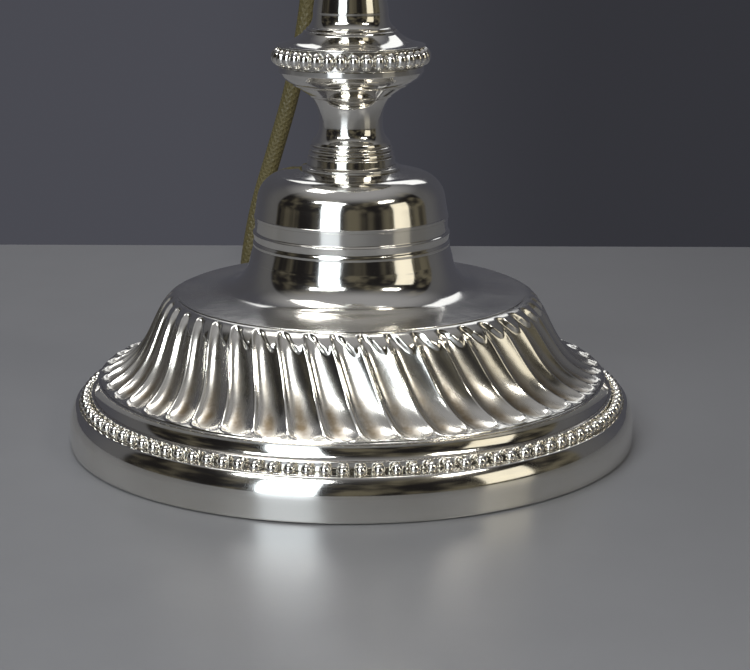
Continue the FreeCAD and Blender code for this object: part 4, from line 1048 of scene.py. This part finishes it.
    def carve(
        self, vertex: bmesh.types.BMVert, row: int, shares: list[float], lengths: list[float],
        grime: bmesh.types.BMLayerItem,
    ) -> None:
        """Moves one point of the cove along its swirl and into its flute.

        Args:
            vertex: the point.
            row: its row, from the plateau.
            shares: the ridge line's share at each row.
            lengths: the distance from the plateau's edge at each row.
            grime: the hollow layer.
        """
        half = len(self.columns)
        step = math.atan2(vertex.co.y, vertex.co.x) / math.tau * self.flutes * half * 2
        column = round(step) % (half * 2)
        side = column - half * 2 if column > half else column
        across = 1.0 if abs(side) == half else self.columns[abs(side)]
        across = math.copysign(across, side)
        flute = round((step - side) / (half * 2))
        share = shares[row]
        point, normal = self.ridge(share)
        pitch = math.tau * point.x / self.flutes
        deep = self.hollow(across, lengths[row], lengths[-1] - lengths[row], pitch)
        place = point - normal * deep
        turn = math.tau * (flute + across / 2) / self.flutes + self.twist * share
        vertex.co = Vector((place.x * math.cos(turn), place.x * math.sin(turn), place.y)) * MM
        low = min(1.0, max(0.0, share * 1.25 - 0.1))
        vertex[grime] = max(0.0, deep / self.depth) ** 1.6 * (0.2 + 0.65 * low)


# ---------------------------------------------------------------- stick


@dataclass
class Bell:
    """The spun bell on the plateau, with its thin flange and its turned reeds."""

    flange: float = 43.0
    foot: float = 31.6
    waist: float = 24.9
    wall: float = 23.6
    reed: float = 0.14

    def build(self) -> None:
        """Makes the bell."""
        base = PLATEAU
        outline = Outline(
            [
                (self.flange, base),
                (self.flange - 0.1, base + 0.16),
                (40.0, base + 0.5),
                (self.foot + 0.6, base + 1.3, -8.5),
                (self.waist, base + 8.8),
                (24.0, base + 12.0),
                (24.0 + self.reed, base + 12.0),
                (24.0 + self.reed, base + 12.7),
                (23.8, base + 13.4),
                (24.0 + self.reed, base + 15.2),
                (self.wall, base + 15.5),
                (self.wall, base + 18.6),
                (self.wall + self.reed, base + 18.6),
                (self.wall + self.reed, base + 19.3),
                (self.wall, base + 19.4),
                (23.0, base + 23.2, 7.0),
                (16.3, BELL_TOP - 0.8),
                (12.6, BELL_TOP),
                (ROD_HOLE, BELL_TOP),
                (ROD_HOLE, BELL_TOP - 1.4),
                (15.6, BELL_TOP - 2.2, -6.1),
                (20.6, base + 23.3),
                (21.7, base + 15.2),
                (22.5, base + 8.8, 9.9),
                (29.5, base),
            ],
            grime=0.3,
        )
        bm = turned_mesh(outline, 224)
        satin = bm.verts.layers.float.new("satin")
        for vertex in bm.verts:
            out = math.hypot(vertex.co.x, vertex.co.y) / MM
            vertex[satin] = min(1.0, max(0.0, (out - 28.0) / 6.0))
        publish(bm, "bell_skin", SILVER, nodes=("bell",))


@dataclass
class Baluster:
    """The short baluster between the bell and the knop."""

    ring: float = 12.0
    band: float = 10.6
    neck: float = 7.65
    brim: float = 17.5

    def build(self) -> None:
        """Makes the baluster with its turned lines."""
        base = BELL_TOP
        turned_piece(
            "lower_baluster_skin",
            [
                (self.ring, base),
                (self.ring, base + 0.75),
                (self.band + 0.1, base + 1.15),
                (self.band - 0.05, base + 3.0),
                (self.band - 0.6, base + 3.25),
                (self.band - 0.25, base + 3.6),
                (self.band - 0.35, base + 4.3),
                (self.band - 0.95, base + 4.55),
                (self.band - 0.6, base + 4.9),
                (self.band - 0.65, base + 5.5),
                (self.band - 1.15, base + 5.8),
                (self.band - 1.0, base + 6.15),
                (self.band - 1.2, base + 6.8, -5.0),
                (self.neck, base + 10.6),
                (self.neck, base + 12.2, -8.5),
                (self.neck + 1.85, base + 17.5),
                (self.neck + 2.35, base + 17.65),
                (self.neck + 2.6, base + 18.1),
                (13.4, base + 20.2),
                (13.75, base + 20.25),
                (14.0, base + 20.7, 9.0),
                (16.7, base + 22.5),
                (self.brim, base + 23.6),
                (self.brim, KNOP),
                (ROD_HOLE, KNOP),
                (ROD_HOLE, base),
            ],
            SILVER, ("lower_baluster",), steps=144, softening=0.15,
        )


@dataclass
class BeadBelt:
    """A belt of beads that bulge outwards from an upright band.

    Attributes:
        name: the piece's name.
        node: the frame's node that it stands for.
        level: the belt's foot in mm.
        height: its height in mm.
        circle: the radius through the beads' middles in mm.
        radii: a bead's half sizes outwards, sideways and upwards in mm.
        count: the number of beads.
    """

    name: str
    node: str
    level: float
    height: float
    circle: float
    radii: tuple[float, float, float]
    count: int

    def build(self) -> None:
        """Makes the band and its beads."""
        top = self.level + self.height
        band = Outline(
            [
                (self.circle - 3.2, self.level),
                (self.circle, self.level),
                (self.circle, top),
                (self.circle - 3.2, top),
            ],
            softening=0.15,
        )
        middle = self.level + self.height / 2
        row = BeadRow(self.circle, middle, self.radii, self.count, (18, 12), 0.42, False)
        publish(row.onto(band, self.count * 4), self.name, SILVER, nodes=(self.node,))


@dataclass
class Stem:
    """The knop's cover, the tapering column, its shoulder and the candle cup."""

    neck: float = 8.5
    column_foot: float = 9.4
    column_head: float = 13.4

    def build(self) -> None:
        """Makes the turned pieces of the upper stick."""
        self.knop_cover()
        self.column()
        self.shoulder()
        self.candle_cup()

    def knop_cover(self) -> None:
        """Makes the dished cover that runs up into the neck."""
        turned_piece(
            "knop_cover_skin",
            [
                (17.9, COVER),
                (17.9, COVER + 0.45),
                (16.3, COVER + 0.75, -13.0),
                (11.6, COVER + 3.15),
                (11.35, COVER + 3.7),
                (10.75, COVER + 3.85),
                (10.65, COVER + 4.4),
                (10.2, COVER + 4.6, -4.5),
                (9.05, COVER + 8.2),
                (self.neck, COLUMN),
                (ROD_HOLE, COLUMN),
                (ROD_HOLE, COVER),
            ],
            SILVER, ("knop_cover",), softening=0.18,
        )

    def column(self) -> None:
        """Makes the column with its collar and flared head."""
        turned_piece(
            "column_skin",
            [
                (self.neck, COLUMN, -8.0),
                (10.5, COLUMN + 4.2),
                (11.2, COLUMN + 4.2),
                (11.2, COLUMN + 6.2),
                (10.5, COLUMN + 6.2, -8.0),
                (self.column_foot, COLUMN + 10.0),
                (self.column_head, COLUMN + 84.0, -8.0),
                (15.6, COLUMN_TOP - 1.4),
                (15.6, COLUMN_TOP),
                (ROD_HOLE, COLUMN_TOP),
                (ROD_HOLE, COLUMN),
            ],
            SILVER, ("column",),
        )

    def shoulder(self) -> None:
        """Makes the domed shoulder and its neck."""
        turned_piece(
            "shoulder_skin",
            [
                (15.5, SHOULDER),
                (15.5, SHOULDER + 0.7, 13.0),
                (8.65, SHOULDER + 11.5),
                (9.0, SHOULDER + 11.5),
                (9.0, SHOULDER + 12.2),
                (8.3, SHOULDER + 12.55, -14.0),
                (7.4, SHOULDER + 19.5, -7.0),
                (10.2, CUP - 0.7),
                (10.2, CUP),
                (ROD_HOLE, CUP),
                (ROD_HOLE, SHOULDER),
            ],
            SILVER, ("shoulder",),
        )

    def candle_cup(self) -> None:
        """Makes the vase-shaped cup with its socket."""
        turned_piece(
            "candle_cup_skin",
            [
                (10.2, CUP),
                (10.55, CUP + 0.7),
                (9.5, CUP + 2.1, 20.0),
                (17.2, CUP + 17.0, 20.0),
                (15.2, CUP + 29.5, -5.0),
                (17.4, PAN - 1.4),
                (17.4, PAN),
                (12.0, PAN),
                (12.0, PAN - 21.0),
                (ROD_HOLE, PAN - 21.0),
                (ROD_HOLE, CUP),
            ],
            SILVER, ("candle_cup",),
        )


@dataclass
class DripPan:
    """The loose pan that sits in the candle cup, with its beaded rim."""

    radius: float = 26.6
    depth: float = 5.0
    rim: float = 3.0
    beads: int = 48
    bead_radius: float = 1.3

    def build(self) -> None:
        """Makes the pan and its beads."""
        inner = self.radius - self.rim
        turned_piece(
            "drip_pan_skin",
            [
                (10.4, PAN - 18.0),
                (11.7, PAN - 18.0),
                (11.7, PAN),
                (17.4, PAN, 14.0),
                (self.radius, PAN + self.depth - 0.7),
                (self.radius, PAN + self.depth),
                (inner, PAN + self.depth, -14.0),
                (17.05, PAN + 1.6),
                (10.4, PAN + 1.6),
            ],
            SILVER, ("drip_pan",),
        )
        circle = self.radius - self.rim / 2
        base = PAN + self.depth
        band = Outline(
            [
                (circle - 0.9, base),
                (circle + 0.9, base),
                (circle + 0.9, base + 0.6),
                (circle - 0.9, base + 0.6),
            ],
            softening=0.1,
        )
        size = self.bead_radius
        row = BeadRow(circle, base + 1.15, (size, size, size), self.beads, (16, 10), 0.5, True)
        publish(row.onto(band, 144), "drip_pan_beads", SILVER, nodes=("drip_pan_bead_ring",))


# ---------------------------------------------------------------- lampholder


@dataclass
class Lampholder:
    """The brass bayonet lampholder with its push bar, contacts and shade ring."""

    radius: float = 16.0
    skirt: float = 13.0

    def build(self) -> None:
        """Makes the lampholder's pieces."""
        self.bush()
        self.cap()
        self.core()
        self.sleeve()
        self.ring()
        self.bar()
        self.contacts()
        self.relief()

    def bush(self) -> None:
        """Makes the threaded bush between the pan and the lock nut."""
        turned_piece(
            "holder_bush_skin",
            [
                (ROD_HOLE, PAN - 11.0),
                (10.3, PAN - 11.0),
                (10.3, PAN + 1.6),
                (12.5, PAN + 1.6),
                (12.5, PAN + 4.0),
                (7.6, PAN + 6.5),
                (ROD_HOLE, PAN + 6.5),
            ],
            HOLDER_BRASS, ("holder_bush",), steps=96,
        )

    def cap(self) -> None:
        """Makes the cap and the boss for the flex."""
        inner = self.radius - 1.4
        outline = Outline(
            [
                (ROD_HOLE, CAP),
                (8.0, CAP),
                (8.0, CAP + 6.5, 9.0),
                (self.radius, CAP + 13.0),
                (self.radius, SKIRT - 1.2),
                (self.radius, SKIRT),
                (inner, SKIRT),
                (inner, SKIRT - 3.0),
                (inner - 1.1, SKIRT - 3.0),
                (inner - 1.1, CAP + 13.0, -7.6),
                (7.65, CAP + 8.2),
                (ROD_HOLE, CAP + 8.2),
            ],
            softening=0.3,
        )
        bm = turned_mesh(outline, 128)
        boss = turned_mesh(
            Outline([(3.7, 0.0), (5.2, 0.0), (5.2, 5.8), (3.7, 5.8)], softening=0.35), 48
        )
        bmesh.ops.transform(
            boss, verts=boss.verts,
            matrix=Matrix.Translation((0, 13.2 * MM, ENTRY * MM)) @ Matrix.Rotation(-math.pi / 2, 4, "X"),
        )
        merge(bm, boss)
        publish(bm, "lampholder_cap_skin", HOLDER_BRASS, nodes=("lampholder_cap",))

    def core(self) -> None:
        """Makes the glazed core with its two wells for the contacts."""
        bm = turned_mesh(
            Outline(
                [
                    (0.0, CAP + 12.0),
                    (9.6, CAP + 12.0),
                    (9.6, SKIRT - 3.0),
                    (14.5, SKIRT - 3.0),
                    (14.5, SKIRT),
                    (11.3, SKIRT),
                    (11.3, CAP + 33.0),
                    (8.6, CAP + 33.0),
                    (8.2, CAP + 32.2),
                    (0.0, CAP + 32.2),
                ],
                softening=0.5,
            ),
            96,
        )
        publish(bm, "holder_core_skin", PORCELAIN, nodes=("holder_core",))

    def sleeve(self) -> None:
        """Makes the bayonet skirt from the frame's own shape, with softened edges."""
        restyle("lampholder_skirt", HOLDER_BRASS, 0.16)

    def ring(self) -> None:
        """Makes the knurled shade ring."""
        foot, top, count = SKIRT + 3.3, SKIRT + 9.3, 40
        bm = bmesh.new()
        bm.verts.layers.float.new("hollow")
        outer, inner = 19.0, self.skirt + 0.3
        levels = [
            (inner, foot + 0.3), (inner + 0.3, foot), (outer - 0.9, foot), (outer - 0.2, foot + 0.7),
            (outer, foot + 0.9), (outer, top - 0.9), (outer - 0.2, top - 0.7), (outer - 0.9, top),
            (inner + 0.3, top), (inner, top - 0.3),
        ]
        ring = [bm.verts.new((radius * MM, 0, level * MM)) for radius, level in levels]
        close_ring(bm, ring)
        bmesh.ops.spin(
            bm, geom=bm.verts[:] + bm.edges[:], cent=(0, 0, 0), axis=(0, 0, 1), dvec=(0, 0, 0),
            angle=math.tau, steps=count * 8, use_merge=True, use_duplicate=False,
        )
        layer = bm.verts.layers.float["hollow"]
        for vertex in bm.verts:
            radius = math.hypot(vertex.co.x, vertex.co.y)
            if radius > (outer - 0.5) * MM:
                share = (math.atan2(vertex.co.y, vertex.co.x) / math.tau * count) % 1.0
                groove = max(0.0, 1.0 - abs(share - 0.5) / 0.26)
                vertex.co.xy *= 1.0 - 0.5 * MM * math.sqrt(groove) / radius
                vertex[layer] = groove * 0.9
        bmesh.ops.recalc_face_normals(bm, faces=bm.faces)
        piece = publish(bm, "shade_ring_skin", HOLDER_BRASS, Body.SHADE_RING, ("shade_ring",))
        soften(piece, 0.12)

    def bar(self) -> None:
        """Makes the push bar with a domed knob at each end."""
        length = (self.radius + 0.3 + 2.6) * 2 + 5.0
        bm = turned_mesh(
            Outline(
                [
                    (0.0, 0.0),
                    (2.2, 0.0, 3.0),
                    (3.1, 1.0),
                    (3.1, 2.6),
                    (2.2, 2.6),
                    (2.2, length - 2.6),
                    (3.1, length - 2.6),
                    (3.1, length - 1.0, 3.0),
                    (2.2, length),
                    (0.0, length),
                ],
                softening=0.25,
            ),
            40,
        )
        start = -(self.radius + 0.3 + 2.6)
        bmesh.ops.transform(
            bm, verts=bm.verts,
            matrix=Matrix.Translation(Vector((start, 0, CAP + 17.0)) * MM)
            @ Matrix.Rotation(math.pi / 2, 4, "Y"),
        )
        publish(bm, "switch_bar_skin", BAKELITE, Body.SWITCH, ("switch_bar",))

    def contacts(self) -> None:
        """Makes the two sprung contact plungers."""
        for side, body, offset in (("front", Body.FRONT_CONTACT, -5.6), ("back", Body.BACK_CONTACT, 5.6)):
            bm = turned_mesh(
                Outline(
                    [
                        (0.0, CAP + 27.0),
                        (2.1, CAP + 27.0),
                        (2.1, CAP + 37.4, 1.8),
                        (1.0, CAP + 38.4),
                        (0.0, CAP + 38.4),
                    ],
                    softening=0.2,
                ),
                32, Vector((0, offset * MM, 0)),
            )
            publish(bm, f"plunger_{side}_skin", CONTACT_BRASS, body, (f"plunger_{side}",))

    def relief(self) -> None:
        """Makes the ribbed, tapered strain relief of the flex."""
        corners: Corners = [(1.7, 0.0), (3.6, 0.0), (3.6, 5.8), (5.0, 5.8), (5.0, 8.2), (3.95, 8.9)]
        ribs = 6
        for i in range(ribs):
            start = 9.6 + i * 3.0
            wide = 3.9 - 0.09 * i
            corners += [(wide - 0.5, start), (wide, start + 0.4)]
            corners += [(wide - 0.05, start + 1.7), (wide - 0.5, start + 2.1)]
        corners += [(3.3, 27.9), (3.2, 28.2), (1.7, 28.2)]
        bm = turned_mesh(Outline(corners, softening=0.2), 40)
        bmesh.ops.transform(
            bm, verts=bm.verts,
            matrix=Matrix.Translation((0, 13.2 * MM, ENTRY * MM)) @ Matrix.Rotation(-math.pi / 2, 4, "X"),
        )
        publish(bm, "entry_bush_skin", BAKELITE, nodes=("entry_bush",))


def restyle(
    node: str, finish: Finish, width: float, body: Body = Body.LAMP, angle: float = 30.0
) -> bpy.types.Object:
    """Makes a smooth piece with softened edges from a node of the frame.

    Args:
        node: the frame's node.
        finish: the new piece's finish.
        width: the rounding of its sharp edges in mm, or 0 for none.
        body: the body that it rides on.
        angle: the least angle of a sharp edge, in degrees.

    Returns:
        The piece's object.
    """
    bm = bmesh.new()
    bm.from_mesh(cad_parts[node].data)
    bmesh.ops.remove_doubles(bm, verts=bm.verts, dist=1e-6)
    bmesh.ops.dissolve_limit(
        bm, angle_limit=math.radians(0.4), verts=bm.verts, edges=bm.edges, use_dissolve_boundaries=False
    )
    for edge in bm.edges:
        edge.smooth = len(edge.link_faces) < 2 or edge.calc_face_angle(0.0) < math.radians(angle)
    piece = publish(bm, f"{node}_skin", finish, body, (node,))
    if width:
        soften(piece, width, angle=angle)
    return piece


# ---------------------------------------------------------------- flex and plug


@dataclass
class Flex:
    """The gold flex: its hanging stretch, its coil behind the foot and its tail to the plug."""

    diameter: float = 4.8
    length: float = 1752.0
    coil_centre: tuple[float, float] = (6.0, 118.0)
    coil_radius: float = 37.0
    pitch: float = 5.4
    turns_in: float = 3.75
    floor_level: float = 3.3

    def hanging(self) -> list[Vector]:
        """Lists the points of the hanging stretch in mm."""
        return [
            Vector(p)
            for p in (
                (0.0, 41.4, 290.1), (0.0, 57.0, 290.1), (-1.0, 70.8, 282.5), (-2.3, 79.6, 268.5),
                (-3.8, 82.6, 249.0), (-5.6, 83.0, 213.0), (-8.4, 79.8, 170.0), (-9.8, 77.4, 130.0),
                (-11.4, 77.6, 101.5), (-15.9, 78.2, 78.5), (-21.6, 78.2, 59.5), (-27.0, 77.6, 42.5),
                (-30.2, 77.9, 24.1), (-30.8, 85.3, 11.0), (-31.0, 98.4, 3.3),
            )
        ]

    def coil(self) -> list[Vector]:
        """Lists the points of the coil, twelve to a turn, in on the lower layer and out on the upper."""
        climb_end = self.turns_in + 0.5
        whole = self.turns_in * 2 + 0.5
        least = self.coil_radius - self.turns_in * self.pitch
        made = [Vector((-31.0, 113.2, self.floor_level))]
        steps = int(round(whole * 12))
        for i in range(steps + 1):
            turn = i / 12
            level = self.floor_level
            if turn <= self.turns_in:
                radius = self.coil_radius - turn * self.pitch
            elif turn < climb_end:
                share = (turn - self.turns_in) / 0.5
                radius = least - self.pitch * (0.25 - abs(turn - self.turns_in - 0.25))
                level += self.pitch * (1 - math.cos(math.pi * share)) / 2
            else:
                radius = least + (turn - climb_end) * self.pitch
                level += self.pitch
            angle = math.pi - math.tau * turn
            radius /= 0.966 if 0 < i < steps else 1.0
            made.append(
                Vector(
                    (
                        self.coil_centre[0] + radius * math.cos(angle),
                        self.coil_centre[1] + radius * math.sin(angle),
                        level,
                    )
                )
            )
        return made

    def tail(self) -> list[Vector]:
        """Lists the points from the coil to the plug in mm."""
        return [
            Vector(p)
            for p in (
                (-31.0, 122.8, 8.7), (-31.0, 136.0, 8.7), (-26.3, 150.0, 8.0), (-4.8, 168.5, 7.0),
                (0.0, 183.4, 7.0), (0.0, 198.0, 7.0),
            )
        ]

    def build(self) -> None:
        points = self.hanging() + self.coil() + self.tail()
        curve = bpy.data.curves.new("flex", "CURVE")
        curve.dimensions = "3D"
        curve.bevel_depth = self.diameter / 2 * MM
        curve.bevel_resolution = 4
        curve.use_fill_caps = True
        spline = curve.splines.new("NURBS")
        spline.points.add(len(points) - 1)
        for control, point in zip(spline.points, points):
            control.co = (*(point * MM), 1.0)
        spline.order_u = 3
        spline.use_endpoint_u = True
        spline.resolution_u = 6
        flex = bpy.data.objects.new("flex", curve)
        bpy.context.scene.collection.objects.link(flex)
        curve.materials.append(GOLD_SHEATH.material())
        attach(flex, Body.LAMP.value)
        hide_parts("flex_drop", "flex_coil", "flex_tail")
        tie = restyle("cord_tie", STRAP, 0.25)
        pieces = [tie, *Plug().build()]
        LOG.info("flex: %d points", len(points))


@dataclass
class Plug:
    """The three-pin plug at the flex's end, lying on its back with its pins up."""

    front: float = 190.0
    width: float = 50.0
    depth: float = 48.0
    cover: float = 14.0
    base: float = 8.0
    corner: float = 8.0

    def shell(self, low: float, high: float, name: str, node: str) -> bpy.types.Object:
        """Makes one half of the plug's shell.

        Args:
            low: its lower level in mm.
            high: its upper level in mm.
            name: the piece's name.
            node: the frame's node that it stands for.

        Returns:
            The piece's object.
        """
        bm = bmesh.new()
        bm.verts.layers.float.new("hollow")
        size = Vector((self.width, self.depth, high - low)) * MM
        centre = Vector((0, self.front + self.depth / 2, (low + high) / 2)) * MM
        bmesh.ops.create_cube(bm, size=1.0, matrix=Matrix.Translation(centre) @ Matrix.Diagonal((*size, 1.0)))
        upright = [e for e in bm.edges if abs(e.verts[0].co.z - e.verts[1].co.z) > 1e-4]
        bmesh.ops.bevel(
            bm, geom=upright, offset=self.corner * MM, affect="EDGES", segments=8, profile=0.5, material=-1
        )
        piece = publish(bm, name, PLUG_SHELL, nodes=(node,))
        soften(piece, 0.9, 3)
        return piece

    def build(self) -> list[bpy.types.Object]:
        """Makes the plug's pieces.

        Returns:
            The pieces that go with the flex.
        """
        made = [
            self.shell(0.0, self.cover, "plug_cover_skin", "plug_cover"),
            self.shell(self.cover, self.cover + self.base, "plug_base_skin", "plug_base"),
        ]
        for pin in ("line", "neutral", "earth"):
            made.append(restyle(f"plug_{pin}_pin", CONTACT_BRASS, 0.3))
        for node in ("plug_fuse", "fuse_clips", "cord_grip", "plug_screw"):
            made.append(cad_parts[node])
        return made


# ---------------------------------------------------------------- hidden fittings


class Fittings(Enum):
    """The finish of each node of the frame that shows as it is."""

    BASE_WEIGHT = ("base_weight", CAST_IRON)
    BAIZE_PAD = ("baize_pad", BAIZE)
    TIE_ROD = ("tie_rod", ZINC)
    ROD_WASHER = ("rod_washer", ZINC)
    ROD_NUT = ("rod_nut", ZINC)
    LOCK_NUT = ("lock_nut", ZINC)
    PLUG_SCREW = ("plug_screw", ZINC)
    FRONT_SPRING = ("plunger_spring_front", SPRING_WIRE)
    BACK_SPRING = ("plunger_spring_back", SPRING_WIRE)
    TERMINALS = ("terminals", CONTACT_BRASS)
    TERMINAL_SCREWS = ("terminal_screws", CONTACT_BRASS)
    FUSE_CLIPS = ("fuse_clips", CONTACT_BRASS)
    LEADS = ("inner_leads", CORE_SHEATH)
    FUSE = ("plug_fuse", FUSE_TUBE)
    GRIP = ("cord_grip", GRIP_FIBRE)

    def dress(self) -> None:
        """Gives the node its finish."""
        node, finish = self.value
        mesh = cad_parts[node].data
        mesh.materials.clear()
        mesh.materials.append(finish.material())
        LOG.info("%s: dressed", node)


# ---------------------------------------------------------------- table, lights and camera


@dataclass
class Panel:
    """A soft rectangular light that faces the lamp.

    Attributes:
        name: its name.
        bearing: its direction in degrees, to the right of straight in front of the lamp.
        elevation: its height above the table's plane, in degrees.
        distance: its distance in metres.
        size: its width and height in metres.
        colour: its colour.
        glow: how bright it looks, where 1 is white.
    """

    name: str
    bearing: float
    elevation: float
    distance: float
    size: tuple[float, float]
    colour: Colour
    glow: float

    def build(self) -> None:
        """Adds the light."""
        data = bpy.data.lights.new(self.name, "AREA")
        data.shape = "RECTANGLE"
        data.size, data.size_y = self.size
        data.color = self.colour
        data.energy = self.glow * math.pi * self.size[0] * self.size[1]
        light = bpy.data.objects.new(self.name, data)
        bpy.context.scene.collection.objects.link(light)
        turn, rise = math.radians(self.bearing), math.radians(self.elevation)
        flat = math.cos(rise) * self.distance
        middle = Vector((0, 0, 0.09))
        light.location = middle + Vector(
            (flat * math.sin(turn), -flat * math.cos(turn), math.sin(rise) * self.distance)
        )
        light.rotation_euler = (middle - light.location).to_track_quat("-Z", "Y").to_euler()


@dataclass
class Studio:
    """The pale table, the grey room, its lights and the camera.

    Attributes:
        table_colour: the table top's colour.
        wall_colour: the wall's colour.
        table_back: how far the table reaches behind the lamp in metres.
        table_dim: the share of its colour that the table keeps on the right, where shade is painted into it.
        wall_dim: the share of its colour that the wall keeps on the right, where shade is painted into it.
        eye: the camera's place in metres.
        eye_pitch: how far the camera looks down, in radians.
        focal_pixels: the camera's focal length in pixels.
        axis_pixel: the column of the picture that the lamp's axis falls on.
        frame_width: the picture's width in pixels.
    """

    table_colour: Colour = (0.238, 0.238, 0.246)
    wall_colour: Colour = (0.068, 0.069, 0.083)
    table_back: float = 0.241
    table_dim: float = 0.7
    wall_dim: float = 0.5
    eye: tuple[float, float, float] = (0.0, -0.45, 0.1371)
    eye_pitch: float = 0.245
    focal_pixels: float = 1864.0
    axis_pixel: float = 351.0
    frame_width: float = 750.0

    def build(self) -> None:
        """Makes the stage, the lights and the camera."""
        self.camera()
        self.table()
        self.world()
        for panel in (
            Panel("window", -25.0, 14.0, 1.4, (0.56, 0.9), (0.84, 0.92, 1.0), 3.6),
            Panel("window_head", -30.0, 38.0, 1.3, (0.75, 0.1), (0.95, 0.98, 1.0), 27.0),
            Panel("right_strip", 50.0, 38.0, 1.3, (0.36, 0.1), (1.0, 0.97, 0.9), 22.0),
            Panel("warm_lamp", 62.0, 13.0, 1.3, (0.5, 0.6), (1.0, 0.93, 0.76), 1.0),
            Panel("ceiling", -150.0, 72.0, 1.6, (1.1, 0.5), (1.0, 1.0, 1.0), 5.3),
            Panel("back_fill", 172.0, 35.0, 1.7, (1.2, 0.5), (0.96, 0.98, 1.0), 1.1),
        ):
            panel.build()
        bpy.context.scene.view_settings.view_transform = "Standard"

    def camera(self) -> None:
        """Places the camera where the photograph was taken."""
        data = bpy.data.cameras.new("camera")
        data.sensor_width = 36.0
        data.lens = data.sensor_width * self.focal_pixels / self.frame_width
        data.clip_start = 0.01
        camera = bpy.data.objects.new("camera", data)
        bpy.context.scene.collection.objects.link(camera)
        camera.location = self.eye
        aside = self.axis_pixel - self.frame_width / 2
        yaw = Matrix.Rotation(math.atan(aside / self.focal_pixels), 4, "Z")
        pitch = Matrix.Rotation(math.pi / 2 - self.eye_pitch, 4, "X")
        camera.rotation_euler = (yaw @ pitch).to_euler()
        bpy.context.scene.camera = camera

    def table(self) -> None:
        """Makes the pale table top, with painted shade that darkens it towards the right."""
        bm = bmesh.new()
        size = Vector((4.0, 1.2 + self.table_back, 0.03))
        centre = Vector((0, (self.table_back - 1.2) / 2, -0.0152))
        turn = Matrix.Rotation(-0.03, 4, "Z")
        shape = turn @ Matrix.Translation(centre) @ Matrix.Diagonal((*size, 1.0))
        bmesh.ops.create_cube(bm, size=1.0, matrix=shape)
        bmesh.ops.bevel(
            bm, geom=bm.edges[:], offset=0.004, affect="EDGES", segments=5, profile=0.5, material=-1
        )
        for face in bm.faces:
            face.smooth = True
        mesh = bpy.data.meshes.new("table")
        bm.to_mesh(mesh)
        bm.free()
        table = bpy.data.objects.new("table", mesh)
        bpy.context.scene.collection.objects.link(table)
        made = bpy.data.materials.new("table_top")
        made.use_nodes = True
        made.node_tree.nodes.clear()
        graph = Graph(made.node_tree)
        place = graph.node("TexCoord").outputs["Object"]
        speckle = graph.node("TexNoise", Vector=place, Scale=60.0, Detail=4.0).outputs[0]
        across = graph.node("SeparateXYZ", Vector=place).outputs["X"]
        low = (*(c * 0.95 for c in self.table_colour), 1)
        high = (*(c * 1.05 for c in self.table_colour), 1)
        # painted shade: the top's colour darkens towards the right, standing in for the shade that falls
        # there
        shaded_right_colour = (*(c * self.table_dim for c in self.table_colour), 1)
        shader = graph.node("BsdfPrincipled", Roughness=0.3)
        plain = graph.mix(speckle, low, high)
        graph.feed(shader.inputs["Base Color"], graph.mix(graph.spread(across, 0.0, 0.2), plain, shaded_right_colour))
        output = graph.node("OutputMaterial")
        graph.feed(output.inputs["Surface"], shader.outputs[0])
        mesh.materials.append(made)

    def world(self) -> None:
        """Lights the room: grey walls behind and beside, a dim warm room in front, a soft ceiling."""
        world = bpy.data.worlds.new("room")
        bpy.context.scene.world = world
        world.use_nodes = True
        world.node_tree.nodes.clear()
        graph = Graph(world.node_tree)
        place = graph.node("TexCoord").outputs["Generated"]
        way = graph.node("SeparateXYZ", Vector=place)
        clutter = graph.node("TexNoise", Vector=place, Scale=3.4, Detail=4.0, Roughness=0.55).outputs[0]
        near = graph.mix(
            graph.spread(clutter, 0.42, 0.68), (0.012, 0.011, 0.011, 1), (0.115, 0.103, 0.074, 1)
        )
        side = graph.mix(
            graph.spread(way.outputs["Y"], 0.3, 0.75), (0.1, 0.1, 0.105, 1), (*self.wall_colour, 1)
        )
        around = graph.mix(graph.spread(way.outputs["Y"], 0.14, 0.2), near, side)
        room = graph.mix(graph.spread(way.outputs["Z"], 0.6, 0.95), around, (0.3, 0.3, 0.31, 1))
        # painted shade: the wall that the camera sees darkens towards the right, standing in for the shade
        # that falls there
        shade = graph.spread(way.outputs["X"], -0.09, 0.13)
        wall = graph.mix(
            shade, (*self.wall_colour, 1), (*(c * self.wall_dim for c in self.wall_colour), 1)
        )
        seen = graph.node("LightPath").outputs["Is Camera Ray"]
        background = graph.node("Background", Strength=1.0)
        graph.feed(background.inputs["Color"], graph.mix(seen, room, wall))
        output = graph.node("OutputWorld")
        graph.feed(output.inputs["Surface"], background.outputs[0])


def main() -> None:
    """Builds the lamp and its studio."""
    logging.basicConfig(level=logging.INFO, format="%(name)s %(message)s")
    Studio().build()
    Flex().build()
    FootRim().build()
    FlutedCove().build()
    Bell().build()
    Baluster().build()
    BeadBelt("knop_beads", "knop_bead_ring", KNOP, 4.6, 17.3, (2.0, 1.56, 2.15), 37).build()
    Stem().build()
    BeadBelt("column_beads", "column_bead_ring", COLUMN_TOP, 3.6, 15.2, (1.5, 1.5, 1.5), 31).build()
    DripPan().build()
    Lampholder().build()
    for fitting in Fittings:
        fitting.dress()


if __name__ == "__main__":
    main()
